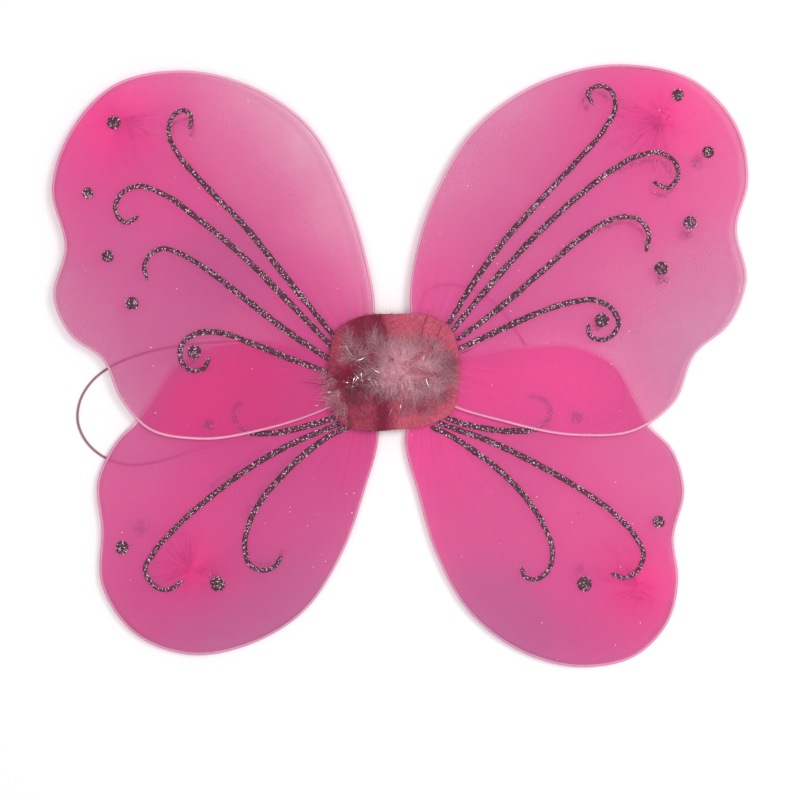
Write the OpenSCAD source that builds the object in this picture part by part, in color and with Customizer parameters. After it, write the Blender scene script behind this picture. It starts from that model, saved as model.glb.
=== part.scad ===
// Child's fairy wings, lying on their back pad with the glitter side up.
// +X is the wearer's right as seen from behind, +Y is towards the head, +Z is away from the wearer's back.

/* [Wings] */
// Diameter of the coated wire of each loop
wire_d = 1.8; // [1.2:0.1:2.4]
// Thickness of one layer of the nylon stocking
nylon_t = 0.25; // [0.15:0.05:0.4]
// Height of the lower wings' wire above the surface
lower_wire_z = 6.6; // [6.3:0.1:7]
// Free height between the lower and the upper wings' nylon
wing_gap = 1.4; // [1.2:0.1:1.8]

/* [Glitter] */
// Widest part of a glitter line
glitter_w = 3.8; // [2:0.1:4.5]
// Height of a glitter line and of a glitter dot
glitter_h = 0.8; // [0.4:0.1:0.9]

/* [Centre] */
// Thickness of the felt of the back pad and of the front patch
felt_t = 2; // [1.5:0.1:2.2]
// Width of the back pad
pad_w = 84; // [78:1:86]
// Height of the back pad, along the wearer's spine
pad_h = 70; // [66:1:72]
// Radius of the back pad's corners
pad_corner_r = 14; // [6:1:20]
// Radius of the bound wire ends, where the wings hinge round them
binding_r = 4.6; // [4:0.1:4.7]
// Length of the binding along the wearer's spine
binding_len = 26; // [24:1:32]
// Distance from the middle to each hinge line
hinge_x = 5; // [5:0.1:5.2]
// Diameter of the feather puff
puff_d = 62; // [50:1:70]
// Height of the feather puff above the patch
puff_h = 11; // [8:1:14]

/* [Straps] */
// Diameter of the round elastic
strap_d = 1.6; // [1.2:0.1:2.6]

/* [Hidden] */

// Free play between the wire and the nylon round it
wire_play = 0.05;
wing_half_t = wire_d / 2 + wire_play + nylon_t;
upper_wire_z = lower_wire_z + 2 * wing_half_t + wing_gap;
// Rise of the hinge lines above the middle between the two pairs of wings
hinge_rise = 0.7;
hinge_z = (lower_wire_z + upper_wire_z) / 2 + hinge_rise;
patch_z = hinge_z + binding_r;
puff_z = patch_z + felt_t;
// Smooth steps between two neighbouring points of an outline, a glitter line and a strap
outline_steps = 5;
glitter_steps = 5;
strap_steps = 3;
// Sides of the wire's and of the elastic's round section
tube_sides = 8;
round_fn = 48;

// Outer edge of each wing's nylon, clockwise from the binding and back to it
right_upper_edge = [
    [10.5, 8], [13, 22], [10, 40], [14, 80], [27, 119], [52, 160], [98, 192], [150, 202.5], [200, 190],
    [227, 158], [232.5, 125], [225, 95], [231.5, 60], [220, 31], [198, 12], [184, -20], [160, -38.5],
    [120, -42.5], [70, -33], [35, -22], [10.5, -6]
];
left_upper_edge = [
    [-10.5, -6], [-45, -25], [-85, -38.5], [-130, -45], [-163, -38], [-181, -18], [-193, 8], [-214, 24],
    [-225, 48], [-217.5, 82], [-226, 120], [-214, 158], [-185, 189], [-142, 198.5], [-100, 190.5],
    [-56, 161.5], [-33, 120], [-20, 80], [-13, 40], [-14, 22], [-10.5, 8]
];
right_lower_edge = [
    [10.5, 6], [45, 11], [85, 17], [122, 17], [146, 4], [158, -16], [168, -35], [183, -51], [191, -78],
    [184, -110], [187, -138], [181, -164], [160, -187], [125, -195], [88, -187], [50, -160], [27, -120],
    [15, -80], [6.8, -44], [11, -22], [10.5, -8]
];
left_lower_edge = [
    [-10.5, -8], [-13, -22], [-11, -40], [-20, -78], [-35, -120], [-62, -160], [-97, -180.5], [-133, -187],
    [-172, -173], [-194, -140], [-194, -104], [-196.5, -72], [-184, -46], [-170, -31], [-157, -12],
    [-145, 5], [-122, 17.5], [-85, 19.5], [-45, 15], [-10.5, 6]
];
// How far the nylon's open mouth and its sides reach at the binding
mouth_x = 8;
mouth_top = 7;
mouth_bottom = -5;

// Where each nylon's closed end is gathered and tied, on the wing's back
left_upper_gather = [-182, 166];
right_upper_gather = [175, 167];
left_lower_gather = [-135, -132];
right_lower_gather = [161, -143];

// Neck and flared tuft of the stocking's end beyond its tie, and the thread of the tie
neck_r = 1.5;
neck_h = 1.2;
tuft_r = 3;
tuft_h = 1.3;
thread_r = 0.45;

// Middle of each glitter line, from the centre of the wings out to its curl
left_upper_lines = [
    [[-39, 22], [-70, 60], [-100, 97], [-130, 128], [-144, 145], [-149, 158], [-146, 168], [-139, 172],
     [-134, 168], [-135, 160]],
    [[-41, 16], [-70, 46], [-100, 76], [-130, 101], [-153, 117], [-170, 122], [-181, 116], [-184, 106],
     [-177, 98], [-169, 102]],
    [[-43, 8], [-70, 26], [-100, 49], [-125, 68], [-142, 78], [-153, 81], [-162, 76], [-165, 68],
     [-163, 61]],
    [[-44, 0], [-70, 9], [-95, 19], [-117, 26], [-131, 25], [-140, 18], [-141, 8], [-134, 1], [-126, 2],
     [-122, 9]]
];
right_upper_lines = [
    [[35, 31], [50, 56], [70, 84], [95, 112], [120, 139], [138, 160], [145, 175], [142, 185],
     [134, 188], [127, 184], [130, 176]],
    [[37, 26], [60, 54], [90, 87], [120, 115], [145, 134], [160, 142], [174, 144], [184, 138],
     [186, 127], [179, 121], [170, 125]],
    [[41, 21], [65, 39], [100, 69], [125, 90], [140, 99], [153, 102], [163, 98], [167, 90], [165, 79]],
    [[42, 15], [70, 28], [95, 39], [117, 46], [132, 47], [143, 41], [147, 32], [143, 24], [135, 21],
     [128, 24], [127, 31]]
];
left_lower_lines = [
    [[-32.5, -32.2], [-46, -38], [-60, -43.8], [-85, -56.5], [-120, -81], [-145, -103], [-159, -119],
     [-165, -130], [-160, -140], [-151, -144], [-140, -138]],
    [[-29.5, -35.8], [-41, -41], [-55, -50.5], [-75, -69], [-89, -86], [-97, -102], [-99, -117],
     [-96, -127], [-87, -131], [-79, -128], [-75, -122]],
    [[-35, -28.2], [-47, -32.6], [-60, -36.2], [-82, -40.5], [-98, -39], [-106, -31], [-105, -23],
     [-100, -20]]
];
right_lower_lines = [
    [[27, -33], [43, -38.8], [60, -44.8], [90, -59], [120, -76], [145, -94], [159, -109], [164, -121],
     [160, -131], [152, -136], [143, -133]],
    [[24, -36.2], [37, -42.4], [50, -50.8], [70, -66], [87, -84], [99, -103], [104, -119], [101, -131],
     [93, -137], [86, -135], [83, -129]],
    [[30, -28.8], [43, -33.6], [57, -36.9], [78, -39], [94, -37], [102, -29], [101, -21], [95, -17],
     [88, -16]]
];
// Width of a glitter line at its start, on its long stretch and at its tip, as shares of the widest part
line_widths = [0.8, 1, 0.9, 0.62];

// Middle and diameter of each glitter dot
left_upper_spots = [[-185, 164, 8.5], [-202, 117.5, 7], [-189, 76, 7.5], [-173, 45, 8], [-132, 13, 8.5]];
right_upper_spots = [[186, 182, 7.5], [206, 144.5, 7.5], [194, 98, 8.5], [175, 68, 8.5], [136, 34, 9]];
left_lower_spots = [[-180, -116, 8.5], [-117, -140, 9.5], [-123, -35, 7.5]];
right_lower_spots = [[174, -99, 7.5], [125, -140, 9.5], [120, -30, 7.5]];

// Edge of the felt patch on the front
patch_edge = [
    [0, 38], [24, 36], [36, 29], [41, 15], [41, -12], [37, -27], [24, -34], [0, -38], [-22, -38.5],
    [-36, -33], [-43, -18], [-43, 8], [-39, 26], [-26, 35]
];

// Middle of the feather puff, and the sphere whose cap it is
puff_x = -2;
puff_r = (puff_d * puff_d / 4 + puff_h * puff_h) / (2 * puff_h);

// Foil strands: middle of the bundle, section, lengths and the turn of the first one
tinsel_x = -14;
strand_w = 1.2;
strand_t = 0.3;
strand_lengths = [26, 34, 30, 36, 28, 32, 24, 30];
first_turn = 25;

// Places of the wire ends inside the binding, as [y, z], and how far they reach beyond the hinge lines
wire_ends = [
    [6.5, upper_wire_z], [-4.5, upper_wire_z], [4.5, lower_wire_z], [-6.5, lower_wire_z]
];
wire_end_reach = 3.4;

// Routes of the two straps: over the back pad, down onto the surface, round and back
strap_play = 0.05;
over_pad_z = felt_t + strap_d / 2 + strap_play;
floor_z = strap_d / 2;
left_strap_route = [
    [-31, 12, over_pad_z], [-36, 12.5, over_pad_z], [-43, 13.5, over_pad_z], [-54, 15.5, floor_z],
    [-75, 18.5, floor_z], [-105, 20, floor_z], [-140, 18, floor_z], [-168, 12, floor_z], [-188, 4, floor_z],
    [-201, -6, floor_z], [-209, -19, floor_z], [-210.5, -33, floor_z], [-205, -46, floor_z],
    [-193, -56.5, floor_z], [-178, -61.5, floor_z], [-160, -60, floor_z], [-135, -52.5, floor_z],
    [-105, -45.5, floor_z], [-75, -40, floor_z], [-55, -34.5, floor_z], [-43, -30, over_pad_z],
    [-36, -27.5, over_pad_z], [-31, -26, over_pad_z]
];
right_strap_route = [
    [29, 14, over_pad_z], [27, 18.5, over_pad_z], [23, 26, over_pad_z], [18.5, 35, over_pad_z],
    [17, 46, floor_z], [23, 55, floor_z], [36, 58, floor_z], [53, 54, floor_z], [68, 44, floor_z],
    [80, 28, floor_z], [91, 13, floor_z], [110, 7, floor_z], [130, 10, floor_z], [146, 3, floor_z],
    [152, -11, floor_z], [149, -26, floor_z], [136, -35, floor_z], [121, -31, floor_z], [110, -18, floor_z],
    [97, -9, floor_z], [83, -13, floor_z], [73, -26, floor_z], [60, -34, floor_z], [43, -31, over_pad_z],
    [36, -28, over_pad_z], [31, -26, over_pad_z]
];
// Length, width and thickness of a stitched tab
tack_w = 7;
tack_h = 5;
tack_t = 2;

// A smooth curve through hand-set points, with the same slope on both sides of each point
function gap_after(p, i) = norm(p[i + 1] - p[i]);
function inner_slope(p, i) =
    let (before = gap_after(p, i - 1))
    let (after = gap_after(p, i))
    ((p[i + 1] - p[i]) * before / after + (p[i] - p[i - 1]) * after / before) / (before + after);
function slope(p, i) =
    i == 0 ? (p[1] - p[0]) / gap_after(p, 0) :
    i == len(p) - 1 ? (p[i] - p[i - 1]) / gap_after(p, i - 1) :
    inner_slope(p, i);
function between(p, i, t) =
    let (reach = gap_after(p, i))
    (2 * t * t * t - 3 * t * t + 1) * p[i]
    + (t * t * t - 2 * t * t + t) * reach * slope(p, i)
    + (3 * t * t - 2 * t * t * t) * p[i + 1]
    + (t * t * t - t * t) * reach * slope(p, i + 1);
function smooth_line(p, steps) = [
    for (i = [0 : len(p) - 2])
        for (s = [0 : steps - 1])
            between(p, i, s / steps),
    p[len(p) - 1]
];
function smooth_ring(p, steps) =
    let (turns = concat([p[len(p) - 1]], p, [p[0], p[1]]))
    [for (i = [1 : len(p)]) for (s = [0 : steps - 1]) between(turns, i, s / steps)];

// Unit direction of a line at point i, and a copy of a flat line moved to its left by d
function direction(line, i) =
    let (step = line[min(i + 1, len(line) - 1)] - line[max(i - 1, 0)])
    step / norm(step);
function beside(line, i, d) = line[i] + d * [-direction(line, i)[1], direction(line, i)[0]];
function moved_left(line, d) = [for (i = [0 : len(line) - 1]) beside(line, i, d)];
function backwards(line) = [for (i = [len(line) - 1 : -1 : 0]) line[i]];
function raised(line, z) = [for (p = line) [p[0], p[1], z]];
function on_surface(line) = [for (p = line) [p[0], p[1], max(p[2], floor_z)]];

// Share of the widest part at place u, from 0 at a glitter line's start to 1 at its tip
function line_width(u) = lookup(u, [
    [0, line_widths[0]], [0.2, line_widths[1]], [0.6, line_widths[2]], [1, line_widths[3]]
]);

// One ring of a tube: round the line, square to it, with up kept as near +Z as it can be
function tube_ring(line, i, r) =
    let (ahead = direction(line, i))
    let (flat = cross([0, 0, 1], ahead))
    let (side = flat / norm(flat))
    let (up = cross(ahead, side))
    let (turn = 360 / tube_sides)
    [for (k = [0 : tube_sides - 1]) line[i] + r * (cos(turn * k) * side + sin(turn * k) * up)];

module tube(line, r) {
    rings = len(line);
    points = [for (i = [0 : rings - 1]) each tube_ring(line, i, r)];
    walls = [
        for (i = [0 : rings - 2])
            for (k = [0 : tube_sides - 1])
                let (a = i * tube_sides + k)
                let (b = i * tube_sides + (k + 1) % tube_sides)
                each [[a, a + tube_sides, b], [b, a + tube_sides, b + tube_sides]]
    ];
    first_cap = [for (k = [0 : tube_sides - 1]) k];
    last_cap = [for (k = [tube_sides - 1 : -1 : 0]) (rings - 1) * tube_sides + k];
    polyhedron(points, concat(walls, [first_cap, last_cap]), convexity = 10);
}

module slab(outline, z, height) {
    translate([0, 0, z])
        linear_extrude(height)
            polygon(outline);
}

// A wing's wire loop, just inside the nylon's edge
module wing_wire(edge, z) {
    line = moved_left(smooth_line(edge, outline_steps), -wing_half_t);
    color("mistyrose")
        tube(raised(line, z), wire_d / 2);
}

// A stocking pulled over the loop: a flat sleeve, open at the binding, its far end tied off on the back
module sleeve(edge, z, gather) {
    side = sign(gather[0]);
    line = smooth_line(edge, outline_steps);
    inside = moved_left(line, -nylon_t);
    mouth = [[side * mouth_x, mouth_top], [side * mouth_x, mouth_bottom]];
    opening = line[0][1] > line[len(line) - 1][1] ? backwards(mouth) : mouth;
    color("hotpink") {
        difference() {
            slab(line, z - wing_half_t, 2 * wing_half_t);
            slab(concat(inside, opening), z - wing_half_t + nylon_t, 2 * (wing_half_t - nylon_t));
        }
        translate([gather[0], gather[1], z - wing_half_t])
            gather_tail();
    }
}

// The stocking's end beyond its tie: a short neck and a flared tuft
module gather_tail() {
    translate([0, 0, -neck_h])
        cylinder(h = neck_h, r = neck_r, $fn = round_fn);
    translate([0, 0, -neck_h - tuft_h])
        cylinder(h = tuft_h, r1 = tuft_r, r2 = neck_r, $fn = round_fn);
}

// Thread wound round the neck of a gathered end
module gather_tie(gather, z) {
    color("palevioletred")
        translate([gather[0], gather[1], z - wing_half_t - neck_h / 2])
            rotate_extrude($fn = round_fn)
                translate([neck_r + thread_r, 0])
                    circle(r = thread_r, $fn = 16);
}

// One bead of dried glitter glue on the front layer, narrowing to its curl
module glitter_line(points, z) {
    line = smooth_line(points, glitter_steps);
    last = len(line) - 1;
    left = [for (i = [0 : last]) beside(line, i, glitter_w / 2 * line_width(i / last))];
    right = [for (i = [last : -1 : 0]) beside(line, i, -glitter_w / 2 * line_width(i / last))];
    color("rosybrown")
        slab(concat(left, right), z + wing_half_t, glitter_h);
}

module glitter_dots(spots, z) {
    color("rosybrown")
        for (spot = spots)
            translate([spot[0], spot[1], z + wing_half_t])
                cylinder(h = glitter_h, d = spot[2], $fn = round_fn);
}

// Felt pad that lies against the wearer's back
module back_pad() {
    inner_w = pad_w / 2 - pad_corner_r;
    inner_h = pad_h / 2 - pad_corner_r;
    color("palevioletred") {
        for (x = [-inner_w, inner_w])
            for (y = [-inner_h, inner_h])
                translate([x, y, 0])
                    cylinder(h = felt_t, r = pad_corner_r, $fn = round_fn);
        translate([-pad_w / 2, -inner_h, 0])
            cube([pad_w, 2 * inner_h, felt_t]);
        translate([-inner_w, -pad_h / 2, 0])
            cube([2 * inner_w, pad_h, felt_t]);
    }
}

// Hot glue that fixes the binding to the back pad
module glue_bed() {
    color("lightpink")
        translate([-hinge_x, -binding_len / 2, felt_t])
            cube([2 * hinge_x, binding_len, hinge_z - binding_r - felt_t]);
}

// The wire ends as rods across the binding, longer by extra at each side
module wire_ends_at(extra) {
    reach = hinge_x + binding_r;
    for (end = wire_ends)
        translate([-reach - extra, end[0], end[1]])
            rotate([0, 90, 0])
                cylinder(h = 2 * (reach + extra), d = wire_d, $fn = 24);
}

// Tape wound round the bound wire ends: its two round sides are the hinge lines
module binding_tape() {
    color("lightpink")
        difference() {
            union() {
                for (x = [-hinge_x, hinge_x])
                    translate([x, binding_len / 2, hinge_z])
                        rotate([90, 0, 0])
                            cylinder(h = binding_len, r = binding_r, $fn = round_fn);
                translate([-hinge_x, -binding_len / 2, hinge_z - binding_r])
                    cube([2 * hinge_x, binding_len, 2 * binding_r]);
            }
            wire_ends_at(1);
        }
}

// The ends of the wire loops, laid side by side inside the binding
module wire_core() {
    color("silver")
        intersection() {
            wire_ends_at(0);
            translate([-hinge_x - wire_end_reach, -binding_len / 2, 0])
                cube([2 * (hinge_x + wire_end_reach), binding_len, 2 * hinge_z]);
        }
}

module front_patch() {
    color("indianred")
        slab(smooth_ring(patch_edge, 4), patch_z, felt_t);
}

// Outer shape of the marabou puff: a low cap of a sphere
module feather_trim() {
    color("rosybrown")
        intersection() {
            translate([puff_x, 0, puff_z + puff_h - puff_r])
                sphere(r = puff_r, $fn = 72);
            translate([-puff_d, -puff_d, puff_z])
                cube([2 * puff_d, 2 * puff_d, puff_h]);
        }
}

// Foil strands that spread from the left of the patch, over the puff
module tinsel() {
    color("gainsboro")
        for (k = [0 : len(strand_lengths) - 1])
            translate([tinsel_x, 0, puff_z + puff_h + k * strand_t])
                rotate([0, 0, first_turn + 180 * k / len(strand_lengths)])
                    translate([-strand_lengths[k] / 2, -strand_w / 2, 0])
                        cube([strand_lengths[k], strand_w, strand_t]);
}

module strap(route) {
    color("palevioletred")
        tube(on_surface(smooth_line(route, strap_steps)), strap_d / 2);
}

// Stitched tabs that hold the two ends of a strap on the back pad, each met by the strap at its outer face
module strap_tack(route_end, next) {
    away = next - route_end;
    angle = atan2(away[1], away[0]);
    color("mediumvioletred")
        translate([route_end[0], route_end[1], felt_t])
            rotate([0, 0, angle])
                translate([-tack_w, -tack_h / 2, 0])
                    cube([tack_w, tack_h, tack_t]);
}
module strap_tacks(route) {
    strap_tack(route[0], route[1]);
    strap_tack(route[len(route) - 1], route[len(route) - 2]);
}

back_pad();
glue_bed();
binding_tape();
wire_core();
front_patch();
feather_trim();
tinsel();
strap(left_strap_route);  // left_strap
strap(right_strap_route);  // right_strap
strap_tacks(left_strap_route);  // left_strap_tacks
strap_tacks(right_strap_route);  // right_strap_tacks

wing_wire(left_upper_edge, upper_wire_z);  // left_upper_wire
sleeve(left_upper_edge, upper_wire_z, left_upper_gather);  // left_upper_nylon
gather_tie(left_upper_gather, upper_wire_z);  // left_upper_gather_tie
glitter_dots(left_upper_spots, upper_wire_z);  // left_upper_dots
glitter_line(left_upper_lines[0], upper_wire_z);  // left_upper_swirl_1
glitter_line(left_upper_lines[1], upper_wire_z);  // left_upper_swirl_2
glitter_line(left_upper_lines[2], upper_wire_z);  // left_upper_swirl_3
glitter_line(left_upper_lines[3], upper_wire_z);  // left_upper_swirl_4

wing_wire(right_upper_edge, upper_wire_z);  // right_upper_wire
sleeve(right_upper_edge, upper_wire_z, right_upper_gather);  // right_upper_nylon
gather_tie(right_upper_gather, upper_wire_z);  // right_upper_gather_tie
glitter_dots(right_upper_spots, upper_wire_z);  // right_upper_dots
glitter_line(right_upper_lines[0], upper_wire_z);  // right_upper_swirl_1
glitter_line(right_upper_lines[1], upper_wire_z);  // right_upper_swirl_2
glitter_line(right_upper_lines[2], upper_wire_z);  // right_upper_swirl_3
glitter_line(right_upper_lines[3], upper_wire_z);  // right_upper_swirl_4

wing_wire(left_lower_edge, lower_wire_z);  // left_lower_wire
sleeve(left_lower_edge, lower_wire_z, left_lower_gather);  // left_lower_nylon
gather_tie(left_lower_gather, lower_wire_z);  // left_lower_gather_tie
glitter_dots(left_lower_spots, lower_wire_z);  // left_lower_dots
glitter_line(left_lower_lines[0], lower_wire_z);  // left_lower_swirl_1
glitter_line(left_lower_lines[1], lower_wire_z);  // left_lower_swirl_2
glitter_line(left_lower_lines[2], lower_wire_z);  // left_lower_swirl_3

wing_wire(right_lower_edge, lower_wire_z);  // right_lower_wire
sleeve(right_lower_edge, lower_wire_z, right_lower_gather);  // right_lower_nylon
gather_tie(right_lower_gather, lower_wire_z);  // right_lower_gather_tie
glitter_dots(right_lower_spots, lower_wire_z);  // right_lower_dots
glitter_line(right_lower_lines[0], lower_wire_z);  // right_lower_swirl_1
glitter_line(right_lower_lines[1], lower_wire_z);  // right_lower_swirl_2
glitter_line(right_lower_lines[2], lower_wire_z);  // right_lower_swirl_3
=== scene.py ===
import math

import bpy
import numpy as np
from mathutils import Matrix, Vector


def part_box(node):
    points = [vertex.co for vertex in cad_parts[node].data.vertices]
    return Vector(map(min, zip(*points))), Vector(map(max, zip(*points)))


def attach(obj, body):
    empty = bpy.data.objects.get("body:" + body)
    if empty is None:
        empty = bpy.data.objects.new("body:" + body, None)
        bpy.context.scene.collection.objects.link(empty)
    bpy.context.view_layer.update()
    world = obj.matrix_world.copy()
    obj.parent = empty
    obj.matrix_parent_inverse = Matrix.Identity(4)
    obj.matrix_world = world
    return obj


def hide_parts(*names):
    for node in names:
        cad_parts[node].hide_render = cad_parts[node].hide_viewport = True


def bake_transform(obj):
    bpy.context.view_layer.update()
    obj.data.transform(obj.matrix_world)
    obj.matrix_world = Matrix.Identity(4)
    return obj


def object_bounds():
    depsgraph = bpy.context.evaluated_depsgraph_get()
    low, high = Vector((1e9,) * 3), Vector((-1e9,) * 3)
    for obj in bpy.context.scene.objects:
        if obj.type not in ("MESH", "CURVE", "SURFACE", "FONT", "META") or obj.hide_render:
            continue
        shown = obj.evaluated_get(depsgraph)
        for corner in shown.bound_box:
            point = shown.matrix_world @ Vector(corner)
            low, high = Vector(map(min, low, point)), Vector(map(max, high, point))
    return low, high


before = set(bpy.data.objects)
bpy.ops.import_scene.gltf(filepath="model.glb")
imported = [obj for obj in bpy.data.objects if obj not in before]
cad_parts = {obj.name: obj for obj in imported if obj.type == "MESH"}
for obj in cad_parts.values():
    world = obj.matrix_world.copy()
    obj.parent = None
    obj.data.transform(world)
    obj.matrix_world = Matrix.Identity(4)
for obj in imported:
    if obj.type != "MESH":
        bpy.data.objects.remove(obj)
CAD_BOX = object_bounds()

# Child's fairy wings: four wire loops in nylon sleeves, drawn on with glitter glue, bound together between a
# felt back pad and a felt patch with marabou and tinsel. Lengths are in metres, or in MM where that is said.
MM = 0.001
WINGS = ("left_upper", "right_upper", "left_lower", "right_lower")
SWIRLS = {"left_upper": 4, "right_upper": 4, "left_lower": 3, "right_lower": 3}

# Camera straight above, with the middle of the picture a little below the middle of the wings
LENS = 82
SENSOR = 36
CAMERA_HEIGHT = 1.21
FRAME_DROP = 22.3 * MM

# Nylon: widest gap and turn between neighbouring points of the mesh, rows from each pole to the rim
RING_GAP = 3 * MM
RING_TURN = math.radians(1.3)
FRONT_ROWS = 64
BACK_ROWS = 72
RIM_ROWS = 9
FRONT_SAG = 0.25 * MM
SAG_REACH = 14 * MM
# Depth of its slow swells, of the creases at the roots and at the ties, and of the crumpled knots
SWELL_DEPTH = .12 * MM
ROOT_CREASE = .45 * MM
TIE_CREASE = .7 * MM
CRUMPLE_DEPTH = .6 * MM
# How far cloth bunched at a tie thickens the back layer, and clears the front one
BUNCHED_REACH = 26 * MM
CLEAR_REACH = 24 * MM
# Width of the band just inside the rim, where the cloth is thicker and carries painted shade beside the
# wire, and of the band over a lower wing's wire where it shows
HEM = 1.3 * MM
# The rim's threads are pulled apart over the wire. Loose glitter starts some rows out from the root
RIM_SHARE = .62
DUST_FROM_ROW = 12
# The lower wings' rims show through the upper wings above this y, which comes on over a few MM
SHOWN_ABOVE = -42 * MM
SHOWN_FADE = 8 * MM
# The nylon right at a tie is nearly closed, and bright
TIED_COVER = .95
TIED_TONE = 1

# Where the creases of each front layer start, under the patch, in MM
ROOTS = {"left_upper": (-20, 5), "right_upper": (20, 5), "left_lower": (-20, -12), "right_lower": (20, -12)}
# Threads' share of the cloth, its tone and how pale its dye, at places round each wing:
# (x, y, share, tone, tint), x and y in MM. The tone is partly the cloth's own brightness, high where it
# bunches, and partly painted shade, low along the lower wings' lower edges and towards the left
CLOTH_SPOTS = {
    "left_upper": [
        (-205, 140, .69, .74, .5), (-215, 105, .58, .56, .5), (-150, 180, .58, .75, .7),
        (-120, 188, .40, .60, .5), (-85, 180, .30, .48, .4), (-60, 150, .29, .42, .4),
        (-35, 110, .32, .47, .35), (-18, 70, .38, .57, .35), (-105, 150, .48, .58, .4),
        (-80, 110, .50, .53, .4), (-150, 120, .62, .65, .5), (-110, 70, .63, .30, .4),
        (-55, 50, .60, .52, .4), (-50, 10, .66, .42, 0), (-180, 75, .56, .42, .5), (-215, 45, .45, .33, .4),
        (-190, 5, .46, .28, .4), (-150, 20, .54, .32, .4), (-120, -20, .37, .80, .25), (-85, 0, .48, .6, 0)
    ],
    "right_upper": [
        (80, 180, .39, .45, .5), (110, 185, .49, .58, .5), (150, 190, .62, .75, .5),
        (205, 170, .55, .82, .5), (50, 140, .42, .45, .5), (20, 100, .47, .52, .5), (20, 55, .60, .70, .55),
        (85, 135, .50, .48, .5), (130, 150, .60, .66, .65), (70, 85, .55, .48, .5), (120, 105, .57, .54, .6),
        (170, 110, .57, .73, .55), (215, 120, .50, .70, .5), (50, 30, .62, .48, .6), (110, 55, .54, .55, .5),
        (160, 60, .47, .55, .5), (210, 70, .43, .40, .4), (200, 35, .38, .20, .4), (178, 0, .42, .22, .4),
        (100, -15, .38, .95, 1), (50, -5, .48, .85, .8), (145, -18, .40, .85, 1)
    ],
    "left_lower": [
        (-175, -45, .55, .42, .6), (-185, -80, .56, .58, .55), (-180, -115, .64, .50, .55),
        (-100, -50, .74, .50, .1), (-50, -10, .75, .80, 0), (-140, 5, .60, .82, .2), (-40, -45, .76, .48, 0),
        (-130, -85, .66, .62, .4), (-60, -85, .66, .43, .2), (-45, -110, .57, .38, .3),
        (-90, -110, .67, .50, .25), (-165, -165, .64, .40, .2), (-135, -180, .58, .18, .2),
        (-95, -170, .55, .09, .3), (-65, -145, .54, .13, .3), (-100, -140, .64, .40, .15)
    ],
    "right_lower": [
        (40, -5, .72, .95, .8), (120, 0, .64, 1, 1), (160, -55, .52, .60, .6), (180, -80, .50, .55, .5),
        (178, -110, .60, .70, .4), (30, -50, .70, .80, .45), (80, -60, .62, .60, .5),
        (25, -90, .62, .63, .4), (130, -85, .58, .70, .5), (60, -110, .60, .55, .45),
        (110, -120, .61, .66, .5), (60, -150, .58, .20, .4), (85, -175, .58, .13, .4),
        (130, -180, .60, .36, .35), (165, -175, .62, .57, .4), (130, -150, .64, .61, .4)
    ]
}
# How far such a place's values spread over the cloth
CLOTH_SPREAD = 27 * MM
# Creases that fan out from each gather, with painted shade in them and painted light between them: (from, to
# in degrees, how many, length in MM, depth)
FANS = {
    "left_upper": [(-105, 20, 16, 30, 1), (25, 200, 8, 16, .6)],
    "right_upper": [(145, 292, 25, 34, 1), (60, 145, 7, 20, .55), (-60, -20, 5, 20, .6)],
    "left_lower": [(75, 205, 19, 29, 1), (-20, 35, 6, 26, .85), (215, 330, 8, 18, .5)],
    "right_lower": [(98, 172, 10, 30, .85), (180, 330, 7, 17, .8), (-20, 60, 4, 11, .5)]
}
# The bunched knot of each gather: (x, y from the tie in MM, radius, how rough)
KNOTS = {
    "left_upper": (1, -1, 5, .3), "right_upper": (3, 1, 7, 1),
    "left_lower": (0, 1, 7, .35), "right_lower": (1, -2, 6.5, 1)
}

# Glitter on the back layers, which shows faintly: (line, from share, to share, shift x and y in MM)
BACK_GLITTER = {
    "left_upper": [(1, .83, 1, 1, -5)],
    "right_upper": [(1, .86, 1, -3, -4), (2, .70, 1, -3, -5), (3, .72, .95, -2, -4)],
    "left_lower": [(2, .22, .62, -4, 2), (1, .25, .5, -4, 3), (2, .85, 1, 1, 4)],
    "right_lower": [(1, .1, .2, 0, 4)]
}
# And blots beside the dots: (x, y, diameter), in MM
BACK_BLOTS = {
    "left_upper": [(-133, 8, 6)],
    "right_upper": [(199, 138, 7), (191, 91, 7), (176, 61, 7), (133, 30, 6)],
    "left_lower": [(-168, -103, 9), (-120, -136, 6)],
    "right_lower": [(122, -131, 6)]
}
# Glitter: flakes over the glue, loose ones on each wing, and the gap between the points of a line
FLAKES_PER_MM2 = 6
DUST_FLAKES = 46
LINE_GAP = .55 * MM

# Patch, pad and tabs: loose fibres on each half, rows of points out to the felt's edge, sizes of strands
PATCH_FIBRES = 5200
FELT_ROWS = 30
FIBRE_WIDE = .17 * MM
BARB_GAP = .27 * MM
FOIL_WIDE = .3 * MM
HAIR_WIDE = .5 * MM
STITCH_R = .22 * MM
TAB_LONG = 7 * MM
TAB_WIDE = 5 * MM

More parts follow.
